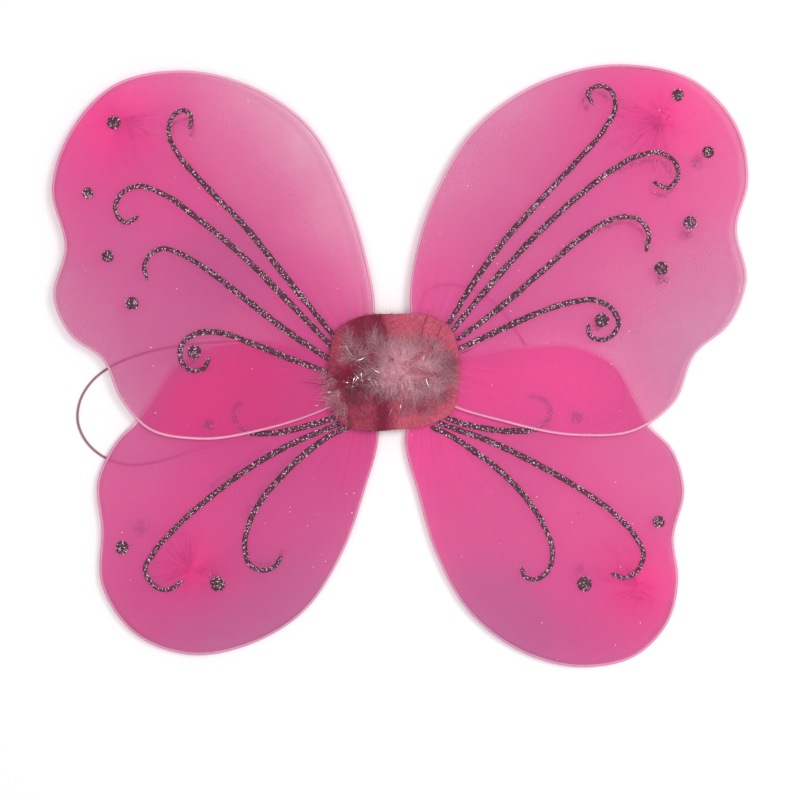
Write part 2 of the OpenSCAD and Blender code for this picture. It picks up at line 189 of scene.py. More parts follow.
# Routes of the two straps, as part.scad has them, in metres: over the pad and down onto the surface
OVER_PAD = 2.85 * MM
ON_FLOOR = .8 * MM
STRAP_D = 1.6 * MM
BRAID_PITCH = 1.8 * MM
STRAP_ROUTES = {
    "left_strap": [
        (-.031, .012, OVER_PAD), (-.036, .0125, OVER_PAD), (-.043, .0135, OVER_PAD),
        (-.054, .0155, ON_FLOOR), (-.075, .0185, ON_FLOOR), (-.105, .020, ON_FLOOR), (-.140, .018, ON_FLOOR),
        (-.168, .012, ON_FLOOR), (-.188, .004, ON_FLOOR), (-.201, -.006, ON_FLOOR), (-.209, -.019, ON_FLOOR),
        (-.2105, -.033, ON_FLOOR), (-.205, -.046, ON_FLOOR), (-.193, -.0565, ON_FLOOR),
        (-.178, -.0615, ON_FLOOR), (-.160, -.060, ON_FLOOR), (-.135, -.0525, ON_FLOOR),
        (-.105, -.0455, ON_FLOOR), (-.075, -.040, ON_FLOOR), (-.055, -.0345, ON_FLOOR),
        (-.043, -.030, OVER_PAD), (-.036, -.0275, OVER_PAD), (-.031, -.026, OVER_PAD)
    ],
    "right_strap": [
        (.029, .014, OVER_PAD), (.027, .0185, OVER_PAD), (.023, .026, OVER_PAD), (.0185, .035, OVER_PAD),
        (.017, .046, ON_FLOOR), (.023, .055, ON_FLOOR), (.036, .058, ON_FLOOR), (.053, .054, ON_FLOOR),
        (.068, .044, ON_FLOOR), (.080, .028, ON_FLOOR), (.091, .013, ON_FLOOR), (.110, .007, ON_FLOOR),
        (.130, .010, ON_FLOOR), (.146, .003, ON_FLOOR), (.152, -.011, ON_FLOOR), (.149, -.026, ON_FLOOR),
        (.136, -.035, ON_FLOOR), (.121, -.031, ON_FLOOR), (.110, -.018, ON_FLOOR), (.097, -.009, ON_FLOOR),
        (.083, -.013, ON_FLOOR), (.073, -.026, ON_FLOOR), (.060, -.034, ON_FLOOR), (.043, -.031, OVER_PAD),
        (.036, -.028, OVER_PAD), (.031, -.026, OVER_PAD)
    ]
}


# ------------------------------------------------------------------ lines and meshes

UP = np.array([0., 0., 1.])


def unit(vectors):
    return vectors / np.maximum(np.linalg.norm(vectors, axis=-1, keepdims=True), 1e-12)


def left_of(ahead):
    """Ways at right angles to others on the level, to their left."""
    return np.stack([-ahead[:, 1], ahead[:, 0]], 1)


def way_of(turn):
    return np.stack([np.cos(turn), np.sin(turn)], 1)


def around(count):
    """Angles evenly round a circle."""
    return np.linspace(0, 2 * math.pi, count, endpoint=False)


def boxy(values, power):
    """Values from -1 to 1, drawn towards the ends."""
    return np.sign(values) * np.abs(values) ** power


def refined(line, gap, closed=False):
    """Points about a gap apart on a smooth curve through a line's own points."""
    points = np.asarray(line, float)
    wrap = 3 if closed else 0
    if closed:
        points = np.vstack([points[-wrap:], points, points[:wrap + 1]])
    gaps = np.linalg.norm(np.diff(points, axis=0), axis=1)
    along = np.concatenate([[0], np.cumsum(gaps)])
    slopes = np.gradient(points, along, axis=0)
    start, end = along[wrap], along[len(along) - 1 - wrap]
    count = max(4, round((end - start) / gap))
    at = np.linspace(start, end, count + 1)[:count if closed else count + 1]
    i = np.clip(np.searchsorted(along, at, side="right") - 1, 0, len(gaps) - 1)
    reach = gaps[i][:, None]
    t = (at - along[i])[:, None] / reach
    return (
        (2 * t**3 - 3 * t**2 + 1) * points[i] + (t**3 - 2 * t**2 + t) * reach * slopes[i]
        + (3 * t**2 - 2 * t**3) * points[i + 1] + (t**3 - t**2) * reach * slopes[i + 1]
    )


def row_faces(rows, columns, wrap=True, first_pole=False, last_pole=False):
    """Faces between rows of points, and from the first and the last row to a point before and after them."""
    start = 1 if first_pole else 0
    grid = start + np.arange(rows * columns).reshape(rows, columns)
    if wrap:
        grid = np.hstack([grid, grid[:, :1]])
    low, high = grid[:-1], grid[1:]
    faces = [np.stack([low[:, :-1], low[:, 1:], high[:, 1:], high[:, :-1]], -1).reshape(-1, 4)]
    if first_pole:
        faces.append(np.stack([np.zeros_like(grid[0, 1:]), grid[0, 1:], grid[0, :-1]], -1))
    if last_pole:
        pole = np.full_like(grid[-1, 1:], start + rows * columns)
        faces.append(np.stack([grid[-1, :-1], grid[-1, 1:], pole], -1))
    return faces


def closed_faces(rows, columns):
    """Faces of a closed form: rows that go round, and a point before and after them."""
    return row_faces(rows, columns, True, True, True)


def join(parts):
    """Several (points, faces) as one."""
    points, faces, start = [], [], 0
    for part_points, part_faces in parts:
        points.append(part_points)
        faces += [face + start for face in part_faces]
        start += len(part_points)
    return np.concatenate(points), faces


def add_mesh(name, points, faces, look, smooth=True, **values):
    """A mesh object. faces are arrays of corner numbers, and values are numbers that its points carry."""
    mesh = bpy.data.meshes.new(name)
    sizes = np.concatenate([np.full(len(f), f.shape[1]) for f in faces])
    corners = np.concatenate([f.ravel() for f in faces])
    mesh.vertices.add(len(points))
    mesh.vertices.foreach_set("co", np.asarray(points, np.float32).ravel())
    mesh.loops.add(len(corners))
    mesh.loops.foreach_set("vertex_index", corners.astype(np.int32))
    mesh.polygons.add(len(sizes))
    mesh.polygons.foreach_set("loop_start", (np.cumsum(sizes) - sizes).astype(np.int32))
    mesh.polygons.foreach_set("use_smooth", np.full(len(sizes), smooth))
    mesh.update(calc_edges=True)
    for key, numbers in values.items():
        kept = mesh.attributes.new(key, "FLOAT", "POINT")
        kept.data.foreach_set("value", np.asarray(numbers, np.float32))
    mesh.materials.append(LOOKS[look])
    piece = bpy.data.objects.new(name, mesh)
    bpy.context.scene.collection.objects.link(piece)
    return piece


def add_piece(name, shape, look, body, slot, *nodes, **values):
    """A mesh with a look, that moves with a body and stands for CAD nodes, which it hides. slot is not used.
    """
    piece = add_mesh(name, *shape, look, **values)
    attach(piece, body)
    if nodes:
        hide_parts(*nodes)
    return piece


def tube(line, radius, sides, shape=None):
    """Points and faces round a line. shape(rows, angles) scales the radius over the surface."""
    ahead = unit(np.gradient(line, axis=0))
    side = unit(np.cross(UP, ahead))
    up = np.cross(ahead, side)
    angles = 2 * math.pi * np.arange(sides) / sides
    size = np.full((len(line), sides), radius)
    if shape:
        size = size * shape(np.arange(len(line))[:, None], angles[None, :])
    ring = np.cos(angles)[None, :, None] * side[:, None] + np.sin(angles)[None, :, None] * up[:, None]
    points = (line[:, None] + ring * size[..., None]).reshape(-1, 3)
    points = np.vstack([line[:1], points, line[-1:]])
    return points, closed_faces(len(line), sides)


def ribbons(lines, widths, roll=0):
    """Thin flat strands. lines is strands x points x 3, widths and roll are strands x points."""
    ahead = unit(np.gradient(lines, axis=1))
    flat = unit(np.cross(ahead, UP) + 1e-9)
    roll = np.broadcast_to(roll, widths.shape)[..., None]
    flat = flat * np.cos(roll) + np.cross(flat, ahead) * np.sin(roll)
    half = flat * widths[..., None] / 2
    points = np.stack([lines - half, lines + half], 2)
    count, length = lines.shape[:2]
    number = np.arange(count * length * 2).reshape(count, length, 2)
    faces = np.stack([number[:, :-1, 0], number[:, :-1, 1], number[:, 1:, 1], number[:, 1:, 0]], -1)
    return points.reshape(-1, 3), [faces.reshape(-1, 4)]


def top_outlines(name):
    """Outlines of a CAD node's highest faces, anticlockwise, as arrays of x and y."""
    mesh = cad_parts[name].data
    points = np.array([v.co for v in mesh.vertices])
    keys = [tuple(k) for k in np.round(points[:, :2] / (0.01 * MM)).astype(int)]
    where = dict(zip(keys, points[:, :2]))
    level = points[:, 2].max() - 0.01 * MM
    edges = set()
    for face in mesh.polygons:
        corners = list(face.vertices)
        if points[corners, 2].min() > level:
            for a, b in zip(corners, corners[1:] + corners[:1]):
                a, b = keys[a], keys[b]
                if (b, a) in edges:
                    edges.remove((b, a))
                else:
                    edges.add((a, b))
    after = dict(sorted(edges))
    outlines = []
    while after:
        key = min(after)
        walk = []
        while key in after:
            walk.append(where[key])
            key = after.pop(key)
        outlines.append(np.array(walk))
    return outlines


def middle_line(outline):
    """The middle line of a strip's outline, from the end nearer the centre of the wings, and its widths."""
    count = len(outline) // 2
    ahead = unit(np.roll(outline, -1, 0) - outline)
    behind = np.roll(ahead, 1, 0)
    turn = np.arctan2(behind[:, 0] * ahead[:, 1] - behind[:, 1] * ahead[:, 0], (behind * ahead).sum(1))
    corners = turn + np.roll(turn, -1) + np.roll(turn, -count) + np.roll(turn, -count - 1)
    rolled = np.roll(outline, -int(np.argmax(corners[:count])) - 1, 0)
    one, other = rolled[:count], rolled[count:][::-1]
    line, widths = (one + other) / 2, np.linalg.norm(one - other, axis=1)
    if np.linalg.norm(line[0]) > np.linalg.norm(line[-1]):
        line, widths = line[::-1], widths[::-1]
    return line, widths


def lumps(rng, rows, columns, size):
    """Smooth random numbers between about -1 and 1 in rows and columns, with lumps about size rows long."""
    coarse = rng.normal(0, .6, (max(3, rows // size + 2), columns))
    at = np.linspace(0, len(coarse) - 1.001, rows)
    i = at.astype(int)
    t = (at - i)[:, None]
    t = t * t * (3 - 2 * t)
    return coarse[i] * (1 - t) + coarse[i + 1] * t


# ------------------------------------------------------------------ looks

def start_look(name):
    look = bpy.data.materials.new(name)
    look.use_nodes = True
    look.node_tree.nodes.clear()
    return look


def add(look, kind, sockets=None, **settings):
    """A node of that kind. A socket takes a number, a colour or another node's output."""
    made = look.node_tree.nodes.new("ShaderNode" + kind)
    for key, value in settings.items():
        setattr(made, key, value)
    for key, value in (sockets or {}).items():
        if isinstance(value, bpy.types.NodeSocket):
            look.node_tree.links.new(value, made.inputs[key])
        else:
            made.inputs[key].default_value = value
    return made


def carried(look, name):
    """A number that the mesh's points carry."""
    return add(look, "Attribute", attribute_name=name).outputs["Fac"]


def noise(look, size, detail=2, rough=.6, stretch=(1, 1, 1)):
    """A noise with grains of that size."""
    where = add(look, "TexCoord").outputs["Object"]
    if stretch != (1, 1, 1):
        where = add(look, "Mapping", {"Vector": where, "Scale": stretch}).outputs["Vector"]
    sockets = {"Vector": where, "Scale": 1 / size, "Detail": detail, "Roughness": rough}
    return add(look, "TexNoise", sockets).outputs["Fac"]


def scaled(look, value, low, high, start=0, end=1):
    """value from start to end, moved to run from low to high."""
    sockets = {"Value": value, "From Min": start, "From Max": end, "To Min": low, "To Max": high}
    return add(look, "MapRange", sockets).outputs["Result"]


def times(look, one, other):
    return add(look, "Math", {0: one, 1: other}, operation="MULTIPLY").outputs[0]


def plus(look, one, other, clamp=False):
    return add(look, "Math", {0: one, 1: other}, operation="ADD", use_clamp=clamp).outputs[0]


def between(look, share, one, other):
    """A colour from one to other."""
    one = one if isinstance(one, bpy.types.NodeSocket) else (*one, 1)
    other = other if isinstance(other, bpy.types.NodeSocket) else (*other, 1)
    made = add(look, "Mix", data_type="RGBA")
    for socket, value in zip((made.inputs[0], made.inputs[6], made.inputs[7]), (share, one, other)):
        if isinstance(value, bpy.types.NodeSocket):
            look.node_tree.links.new(value, socket)
        else:
            socket.default_value = value
    return made.outputs[2]


def dimmed(look, colour, value):
    """A colour times a number."""
    grey = add(look, "CombineColor", {"Red": value, "Green": value, "Blue": value}).outputs["Color"]
    made = add(look, "Mix", data_type="RGBA", blend_type="MULTIPLY")
    made.inputs[0].default_value = 1
    look.node_tree.links.new(grey, made.inputs[7])
    if isinstance(colour, bpy.types.NodeSocket):
        look.node_tree.links.new(colour, made.inputs[6])
    else:
        made.inputs[6].default_value = (*colour, 1)
    return made.outputs[2]


def bumped(look, height, depth, strength=1):
    sockets = {"Height": height, "Distance": depth, "Strength": strength}
    return add(look, "Bump", sockets).outputs["Normal"]


def show(look, shader):
    add(look, "OutputMaterial", {"Surface": shader.outputs[0]})
    return look


def gather_streaks(look):
    """Painted shade in thin creases that run out from a gather, and painted light on the ridges between
    them, each from 0 to 1.
    """
    sockets = {"X": carried(look, "gather_x"), "Y": carried(look, "gather_y")}
    place_at = add(look, "CombineXYZ", sockets).outputs[0]
    way = add(look, "VectorMath", {0: place_at}, operation="NORMALIZE").outputs["Vector"]
    away = add(look, "VectorMath", {0: place_at}, operation="LENGTH").outputs["Value"]
    parts = add(look, "SeparateXYZ", {0: way})
    depth = times(look, away, 9)
    sockets = {"X": parts.outputs["X"], "Y": parts.outputs["Y"], "Z": depth}
    where = add(look, "CombineXYZ", sockets).outputs[0]
    streaks = []
    # Painted shade: narrow dark streaks in the creases
    for count, narrow in ((6, .045), (14, .075)):
        grain = add(look, "TexNoise", {"Vector": where, "Scale": count, "Detail": 1}).outputs["Fac"]
        off = add(look, "Math", {0: plus(look, grain, -.5)}, operation="ABSOLUTE").outputs[0]
        streaks.append(scaled(look, off, 1, 0, 0, narrow))
    both = plus(look, times(look, streaks[0], .8), times(look, streaks[1], .45))
    # Painted light on the ridges between the creases, which also thickens the cloth there
    grain = add(look, "TexNoise", {"Vector": where, "Scale": 9, "Detail": 0}).outputs["Fac"]
    light = times(look, scaled(look, grain, 0, 1, .58, .66), carried(look, "fan"))
    return times(look, both, carried(look, "fan")), light


def nylon_look():
    """Sheer knitted nylon: threads that scatter light to both sides, with gaps between them. Its colour
    carries painted shade in creases and beside the wire, and painted light on the ridges of pleats.
    """
    look = start_look("nylon")
    streak, ridge_highlight_and_bunching = gather_streaks(look)
    knit = noise(look, 1.1 * MM, 2, .7, (1, .5, 1))
    mottle = noise(look, 14 * MM, 2)
    share = plus(look, carried(look, "cover"), scaled(look, knit, -.04, .04))
    share = plus(look, share, scaled(look, mottle, -.035, .035))
    share = plus(look, share, times(look, streak, .3))
    share = plus(look, share, times(look, ridge_highlight_and_bunching, .25), clamp=True)
    # Painted light and shade: by its tone the colour runs from a greyer one to the dye. The tone holds the
    # painted shade set at the cloth's places, and painted light on the ridges between a gather's creases
    # raises it
    bright = plus(look, carried(look, "tone"), times(look, ridge_highlight_and_bunching, .5), clamp=True)
    dye = between(look, carried(look, "tint"), (1, .05, .335), (1, .126, .465))
    colour = between(look, bright, (.58, .12, .345), dye)
    # Painted shade: the colour is dimmed in creases, in the knots' crumples and beside the wire
    crease_shade = plus(look, carried(look, "fold"), streak, clamp=True)
    colour = dimmed(look, colour, scaled(look, crease_shade, 1, .25))
    front = add(look, "BsdfPrincipled", {
        "Base Color": colour, "Roughness": .55, "Specular IOR Level": .3, "Sheen Weight": .12,
        "Sheen Roughness": .4, "Sheen Tint": (1, .75, .88, 1), "Normal": bumped(look, knit, .1 * MM, .2)
    })
    through = add(look, "BsdfTranslucent", {"Color": colour})
    threads = add(look, "MixShader", {0: .3, 1: front.outputs[0], 2: through.outputs[0]})
    gaps = add(look, "BsdfTransparent")
    return show(look, add(look, "MixShader", {0: share, 1: gaps.outputs[0], 2: threads.outputs[0]}))


def coated_wire_look():
    """Pale pink paper-like coating on florist's wire."""
    look = start_look("coated_wire")
    stain = noise(look, 5 * MM, 3)
    fibre = noise(look, .5 * MM, 2, .7)
    return show(look, add(look, "BsdfPrincipled", {
        "Base Color": between(look, stain, (.86, .56, .68), (.93, .72, .80)), "Roughness": .35,
        "Normal": bumped(look, fibre, .08 * MM, .6)
    }))


def glue_bead_look():
    """Dried glitter glue between the flakes, dark mauve and glossy."""
    look = start_look("glitter_glue_bead")
    grain = noise(look, .6 * MM, 2)
    return show(look, add(look, "BsdfPrincipled", {
        "Base Color": between(look, grain, (.032, .010, .018), (.12, .042, .064)), "Roughness": .5,
        "Specular IOR Level": .3, "Normal": bumped(look, grain, .25 * MM, .8)
    }))


def flake_look():
    """Glitter flakes, from dark mauve to bright silver; the bright ones are painted glints."""
    look = start_look("glitter_flakes")
    shine = carried(look, "shine")
    dark = between(look, scaled(look, shine, 0, 1, 0, .68), (.030, .007, .016), (.21, .060, .115))
    light = between(look, scaled(look, shine, 0, 1, .68, 1), (.80, .36, .52), (1, .80, .90))
    bright = add(look, "Math", {0: shine, 1: .68}, operation="GREATER_THAN").outputs[0]
    return show(look, add(look, "BsdfPrincipled", {
        "Base Color": between(look, bright, dark, light), "Roughness": .45, "Specular IOR Level": .25
    }))


def felt_look(name, light, dark, fuzz):
    """Felt: matted fibres, patchy in colour."""
    look = start_look(name)
    patchy = noise(look, 9 * MM, 3)
    fibre = noise(look, 1 * MM, 4, .7)
    share = plus(look, carried(look, "shade"), scaled(look, patchy, -.45, .45), clamp=True)
    colour = dimmed(look, between(look, share, light, dark), scaled(look, fibre, .55, 1.4))
    return show(look, add(look, "BsdfPrincipled", {
        "Base Color": colour, "Roughness": .95, "Specular IOR Level": .15, "Sheen Weight": fuzz,
        "Sheen Roughness": .5, "Sheen Tint": (1, .8, .86, 1), "Normal": bumped(look, fibre, .5 * MM, .9)
    }))


def strand_look(name, dark, light, through=.35):
    """Fine strands that let light through, from dark to light by their tone."""
    look = start_look(name)
    colour = between(look, carried(look, "tone"), dark, light)
    front = add(look, "BsdfPrincipled", {
        "Base Color": colour, "Roughness": .7, "Specular IOR Level": .3, "Sheen Weight": .1,
        "Sheen Tint": (1, .85, .9, 1)
    })
    behind = add(look, "BsdfTranslucent", {"Color": colour})
    return show(look, add(look, "MixShader", {0: through, 1: front.outputs[0], 2: behind.outputs[0]}))


def foil_look():
    """Silver tinsel with a little pink in it."""
    look = start_look("tinsel_foil")
    streak = noise(look, 1.5 * MM, 2, .6, (1, .3, 1))
    colour = between(look, carried(look, "tone"), (.62, .55, .56), (1, .96, .94))
    return show(look, add(look, "BsdfPrincipled", {
        "Base Color": colour, "Metallic": 1, "Roughness": scaled(look, streak, .18, .42)
    }))


def woven_look(name, dark, light, grain, rough=.75, sheen=.25):
    """Yarn or tape, with the weave's grain."""
    look = start_look(name)
    yarn = noise(look, grain, 3, .7, (1, .4, 1))
    return show(look, add(look, "BsdfPrincipled", {
        "Base Color": between(look, yarn, dark, light), "Roughness": rough, "Sheen Weight": sheen,
        "Normal": bumped(look, yarn, .12 * MM, .7)
    }))


def hot_glue_look():
    look = start_look("hot_glue")
    cloud = noise(look, 4 * MM, 2)
    return show(look, add(look, "BsdfPrincipled", {
        "Base Color": between(look, cloud, (.78, .70, .62), (.88, .82, .76)), "Roughness": .22,
        "Subsurface Weight": .3, "Subsurface Radius": (.004, .003, .002), "Subsurface Scale": .5
    }))


def steel_look():
    look = start_look("bare_wire")
    drawn = noise(look, .4 * MM, 2, .6, (.1, 1, 1))
    return show(look, add(look, "BsdfPrincipled", {
        "Base Color": (.62, .61, .60, 1), "Metallic": 1, "Roughness": scaled(look, drawn, .22, .45)
    }))


def floor_look():
    look = start_look("floor")
    grain = noise(look, .25, 2)
    return show(look, add(look, "BsdfPrincipled", {
        "Base Color": between(look, grain, (.93, .925, .93), (.95, .945, .95)), "Roughness": .9,
        "Specular IOR Level": .1
    }))


LOOKS = {
    "nylon": nylon_look(),
    "coated_wire": coated_wire_look(),
    "bead": glue_bead_look(),
    "flakes": flake_look(),
    "patch": felt_look("felt_patch", (.66, .11, .19), (.23, .014, .044), .08),
    "pad": felt_look("felt_back", (.60, .10, .24), (.46, .06, .17), .3),
    "fuzz": strand_look("felt_fuzz", (.26, .035, .07), (.80, .26, .35)),
    "marabou": strand_look("marabou", (.30, .055, .10), (1, .64, .73), .4),
    "hair": strand_look("dark_hair", (.03, .004, .008), (.14, .02, .035), .1),
    "foil": foil_look(),
    "elastic": woven_look("elastic", (.20, .08, .105), (.40, .20, .24), .5 * MM),
    "tab": woven_look("stitched_tab", (.55, .07, .24), (.70, .14, .34), .6 * MM),
    "thread": woven_look("thread", (.75, .20, .42), (.88, .40, .58), .3 * MM),
    "tape": woven_look("binding_tape", (.70, .38, .48), (.84, .56, .64), .5 * MM, .6),
    "glue": hot_glue_look(),
    "steel": steel_look(),
    "floor": floor_look()
}


# ------------------------------------------------------------------ camera, straps

def make_camera():
    low, high = CAD_BOX
    data = bpy.data.cameras.new("camera")
    data.lens = LENS
    data.sensor_width = SENSOR
    camera = bpy.data.objects.new("camera", data)
    camera.location = ((low.x + high.x) / 2, (low.y + high.y) / 2 - FRAME_DROP, CAMERA_HEIGHT)
    bpy.context.scene.collection.objects.link(camera)
    bpy.context.scene.camera = camera


def make_strap(name):
    """Round braided elastic. Its eight ridges wind round it both ways."""
    gap = .35 * MM
    braid = 2 * math.pi * gap / BRAID_PITCH
    line = refined(STRAP_ROUTES[name], gap)
    line[:, 2] = np.maximum(line[:, 2], ON_FLOOR)

    def ridges(row, angle):
        return .97 + .04 * np.maximum(np.sin(4 * angle + braid * row), np.sin(4 * angle - braid * row))

    shape = tube(line, STRAP_D / 2, 20, ridges)
    strap = add_piece(name + "_elastic", shape, "elastic", "root", "elastic", name)


make_camera()
for strap_name in STRAP_ROUTES:
    make_strap(strap_name)


# ------------------------------------------------------------------ wings

def wing_parts(wing):
    """From the CAD: a wing's edge, its wire's height and radius, half its thickness and its tie's place."""
    wire_low, wire_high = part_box(wing + "_wire")
    tie_low, tie_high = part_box(wing + "_gather_tie")
    height = (wire_low.z + wire_high.z) / 2
    return {
        "edge": max(top_outlines(wing + "_nylon"), key=len),
        "height": height,
        "wire_r": (wire_high.z - wire_low.z) / 2,
        "half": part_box(wing + "_nylon")[1].z - height,
        "tie": np.array((tie_low + tie_high) / 2),
        "root": np.array(ROOTS[wing]) * MM
    }


def ring_of(edge, poles):
    """Points on a closed edge, close together in length and as seen from each pole, and the ways inward."""
    fine = refined(edge, .5 * MM, closed=True)
    after = np.roll(fine, -1, 0)
    steps = np.linalg.norm(after - fine, axis=1) / RING_GAP
    for pole in poles:
        a, b = fine - pole, after - pole
        turn = np.abs(np.arctan2(a[:, 0] * b[:, 1] - a[:, 1] * b[:, 0], (a * b).sum(1)))
        steps = np.maximum(steps, turn / RING_TURN)
    along = np.concatenate([[0], np.cumsum(steps)])
    count = math.ceil(along[-1])
    at = np.interp(np.arange(count) * along[-1] / count, along, np.arange(len(along)))
    closed = np.vstack([fine, fine[:1]])
    points = np.stack([np.interp(at, np.arange(len(closed)), closed[:, k]) for k in (0, 1)], 1)
    ahead = unit(np.roll(points, -1, 0) - np.roll(points, 1, 0))
    return points, left_of(ahead)


def creases(points, pole, rng, start, end, count, reach, width):
    """How deep points lie in creases that run out from a pole between two angles, from 0 to about 1."""
    offset = points - pole
    depth = np.zeros(points.shape[:-1])
    for k in range(count):
        angle = start + (end - start) * (k + rng.uniform(.1, .9)) / count
        length = reach * rng.uniform(.4, 1.1)
        along = offset[..., 0] * math.cos(angle) + offset[..., 1] * math.sin(angle)
        across = offset[..., 1] * math.cos(angle) - offset[..., 0] * math.sin(angle)
        wide = width * rng.uniform(.7, 1.4) * (.4 + np.clip(along, 0, None) / reach)
        fade = np.exp(-(along / length) ** 2) * (along > 0) * np.clip(along / (2.5 * MM), 0, 1)
        depth += rng.uniform(.5, 1) * np.exp(-(across / wide) ** 2) * fade
    return np.minimum(depth, 1.2)


def fan_strength(wing, points):
    """How strongly a gather's creases show at points, given as places from its tie."""
    turns = np.degrees(np.arctan2(points[..., 1], points[..., 0]))
    away = np.linalg.norm(points, axis=-1) / MM
    strength = np.zeros(turns.shape)
    for first, last, _, reach, deep in FANS[wing]:
        middle, half = (first + last) / 2, (last - first) / 2
        off = np.abs((turns - middle + 180) % 360 - 180)
        inside = np.clip((half + 12 - off) / 20, 0, 1)
        fade = np.exp(-(away / reach) ** 2) * np.clip((away - 1.5) / 6, 0, 1)
        strength = np.maximum(strength, deep * inside * fade)
    return strength


def cloth_values(wing, points):
    """Threads' share, tone and tint at points, smoothed between the wing's listed places."""
    spots = np.array(CLOTH_SPOTS[wing])
    far = ((points[..., None, :] - spots[:, :2] * MM) ** 2).sum(-1) / CLOTH_SPREAD ** 2
    weight = np.exp(-(far - far.min(-1, keepdims=True)))
    weight /= weight.sum(-1, keepdims=True)
    return [weight @ spots[:, k] for k in (2, 3, 4)]


def near(points, place_at, reach):
    """1 at a place, and close to 0 beyond twice the reach."""
    return np.exp(-(np.linalg.norm(points - place_at, axis=-1) / reach) ** 2)


def swell(points, seed):
    """Slow waves in stretched cloth."""
    x, y = points[..., 0] / MM, points[..., 1] / MM
    return np.sin(x / 19 + seed) * np.sin(y / 23 + 2 * seed) + .5 * np.sin((x + y) / 11 + seed)


def sleeve_folds(wing, front, back, root, knot, outward, rng):
    """Creases at the front layer's root and at the back one's tie, and the tie's bunch and its crumples."""
    root_folds = creases(front, root, rng, outward - 1.5, outward + 1.5, 26, 75 * MM, 1.5 * MM)
    tie_folds = 0
    for first, last, count, reach, deep in FANS[wing]:
        fan_ends = math.radians(first), math.radians(last)
        tie_folds = tie_folds + deep * creases(back, knot, rng, *fan_ends, count, reach * MM, .35 * MM)
    x, y, wide, rough = KNOTS[wing]
    bunch = knot + np.array((x, y)) * MM
    lump = near(back, bunch, wide * MM)
    curls = 0
    for _ in range(4):
        off = np.linalg.norm(back - bunch - rng.normal(0, .4 * wide * MM, 2), axis=-1)
        curls = curls + np.sin(off / (rng.uniform(.5, .8) * MM))
    return root_folds, tie_folds, lump, rough * np.clip(curls / 1.5 - .4, 0, 1) * lump


def front_values(wing, front, ring, inner, knot, root_folds, seed):
    """Threads' share, tone, tint and painted shade of the front layer, which is shaded only in the band
    beside the wire.
    """
    cover, tone, tint = cloth_values(wing, front)
    clear = near(front, knot, CLEAR_REACH)
    from_rim = np.linalg.norm(front - inner, axis=-1)
    shown = rim_shown(wing, ring)
    # The band just inside the rim: thicker cloth, and painted shade beside the wire
    hem_and_wire_shade = np.exp(-((from_rim - HEM) / HEM) ** 2) * (1 - shown)
    hem_and_wire_shade = hem_and_wire_shade * (.55 + .45 * np.sin(np.arange(len(ring)) / len(ring) * 2 * math.pi * 5 + seed))
    over_wire = shown * np.exp(-(from_rim / HEM) ** 2)
    cover = cover * (1 - .32 * clear) * (1 - .75 * over_wire) + .10 * root_folds + .08 * hem_and_wire_shade
    return cover, tone + .4 * clear + .25 * root_folds, tint, .42 * hem_and_wire_shade


def rim_shown(wing, ring):
    """1 where a lower wing's rim shows through an upper wing."""
    return np.clip((ring[:, 1] - SHOWN_ABOVE) / SHOWN_FADE, 0, 1) * ("lower" in wing)


def rim_values(wing, rim, ring):
    """Threads' share, tone, tint and painted fold shade, none here, of the rim over the wire."""
    cover, tone, tint = cloth_values(wing, rim)
    return cover * RIM_SHARE * (1 - .7 * rim_shown(wing, ring)), tone, tint, np.zeros(cover.shape)


def back_values(wing, back, knot, tie_folds, lump, crumple):
    """Threads' share, tone, tint and painted fold shade of the back layer, thick and bright where it is
    gathered, with painted shade in its creases and crumples.
    """
    cover, tone, tint = cloth_values(wing, back)
    bunched = near(back, knot, BUNCHED_REACH)
    # Painted shade in the tie's creases and in the crumples of its knot
    fold = np.clip(.6 * tie_folds * (1 - .6 * lump) + .8 * crumple, 0, 1)
    return cover + .22 * bunched + .15 * tie_folds + .3 * lump, tone + .35 * bunched + .5 * lump, tint, fold


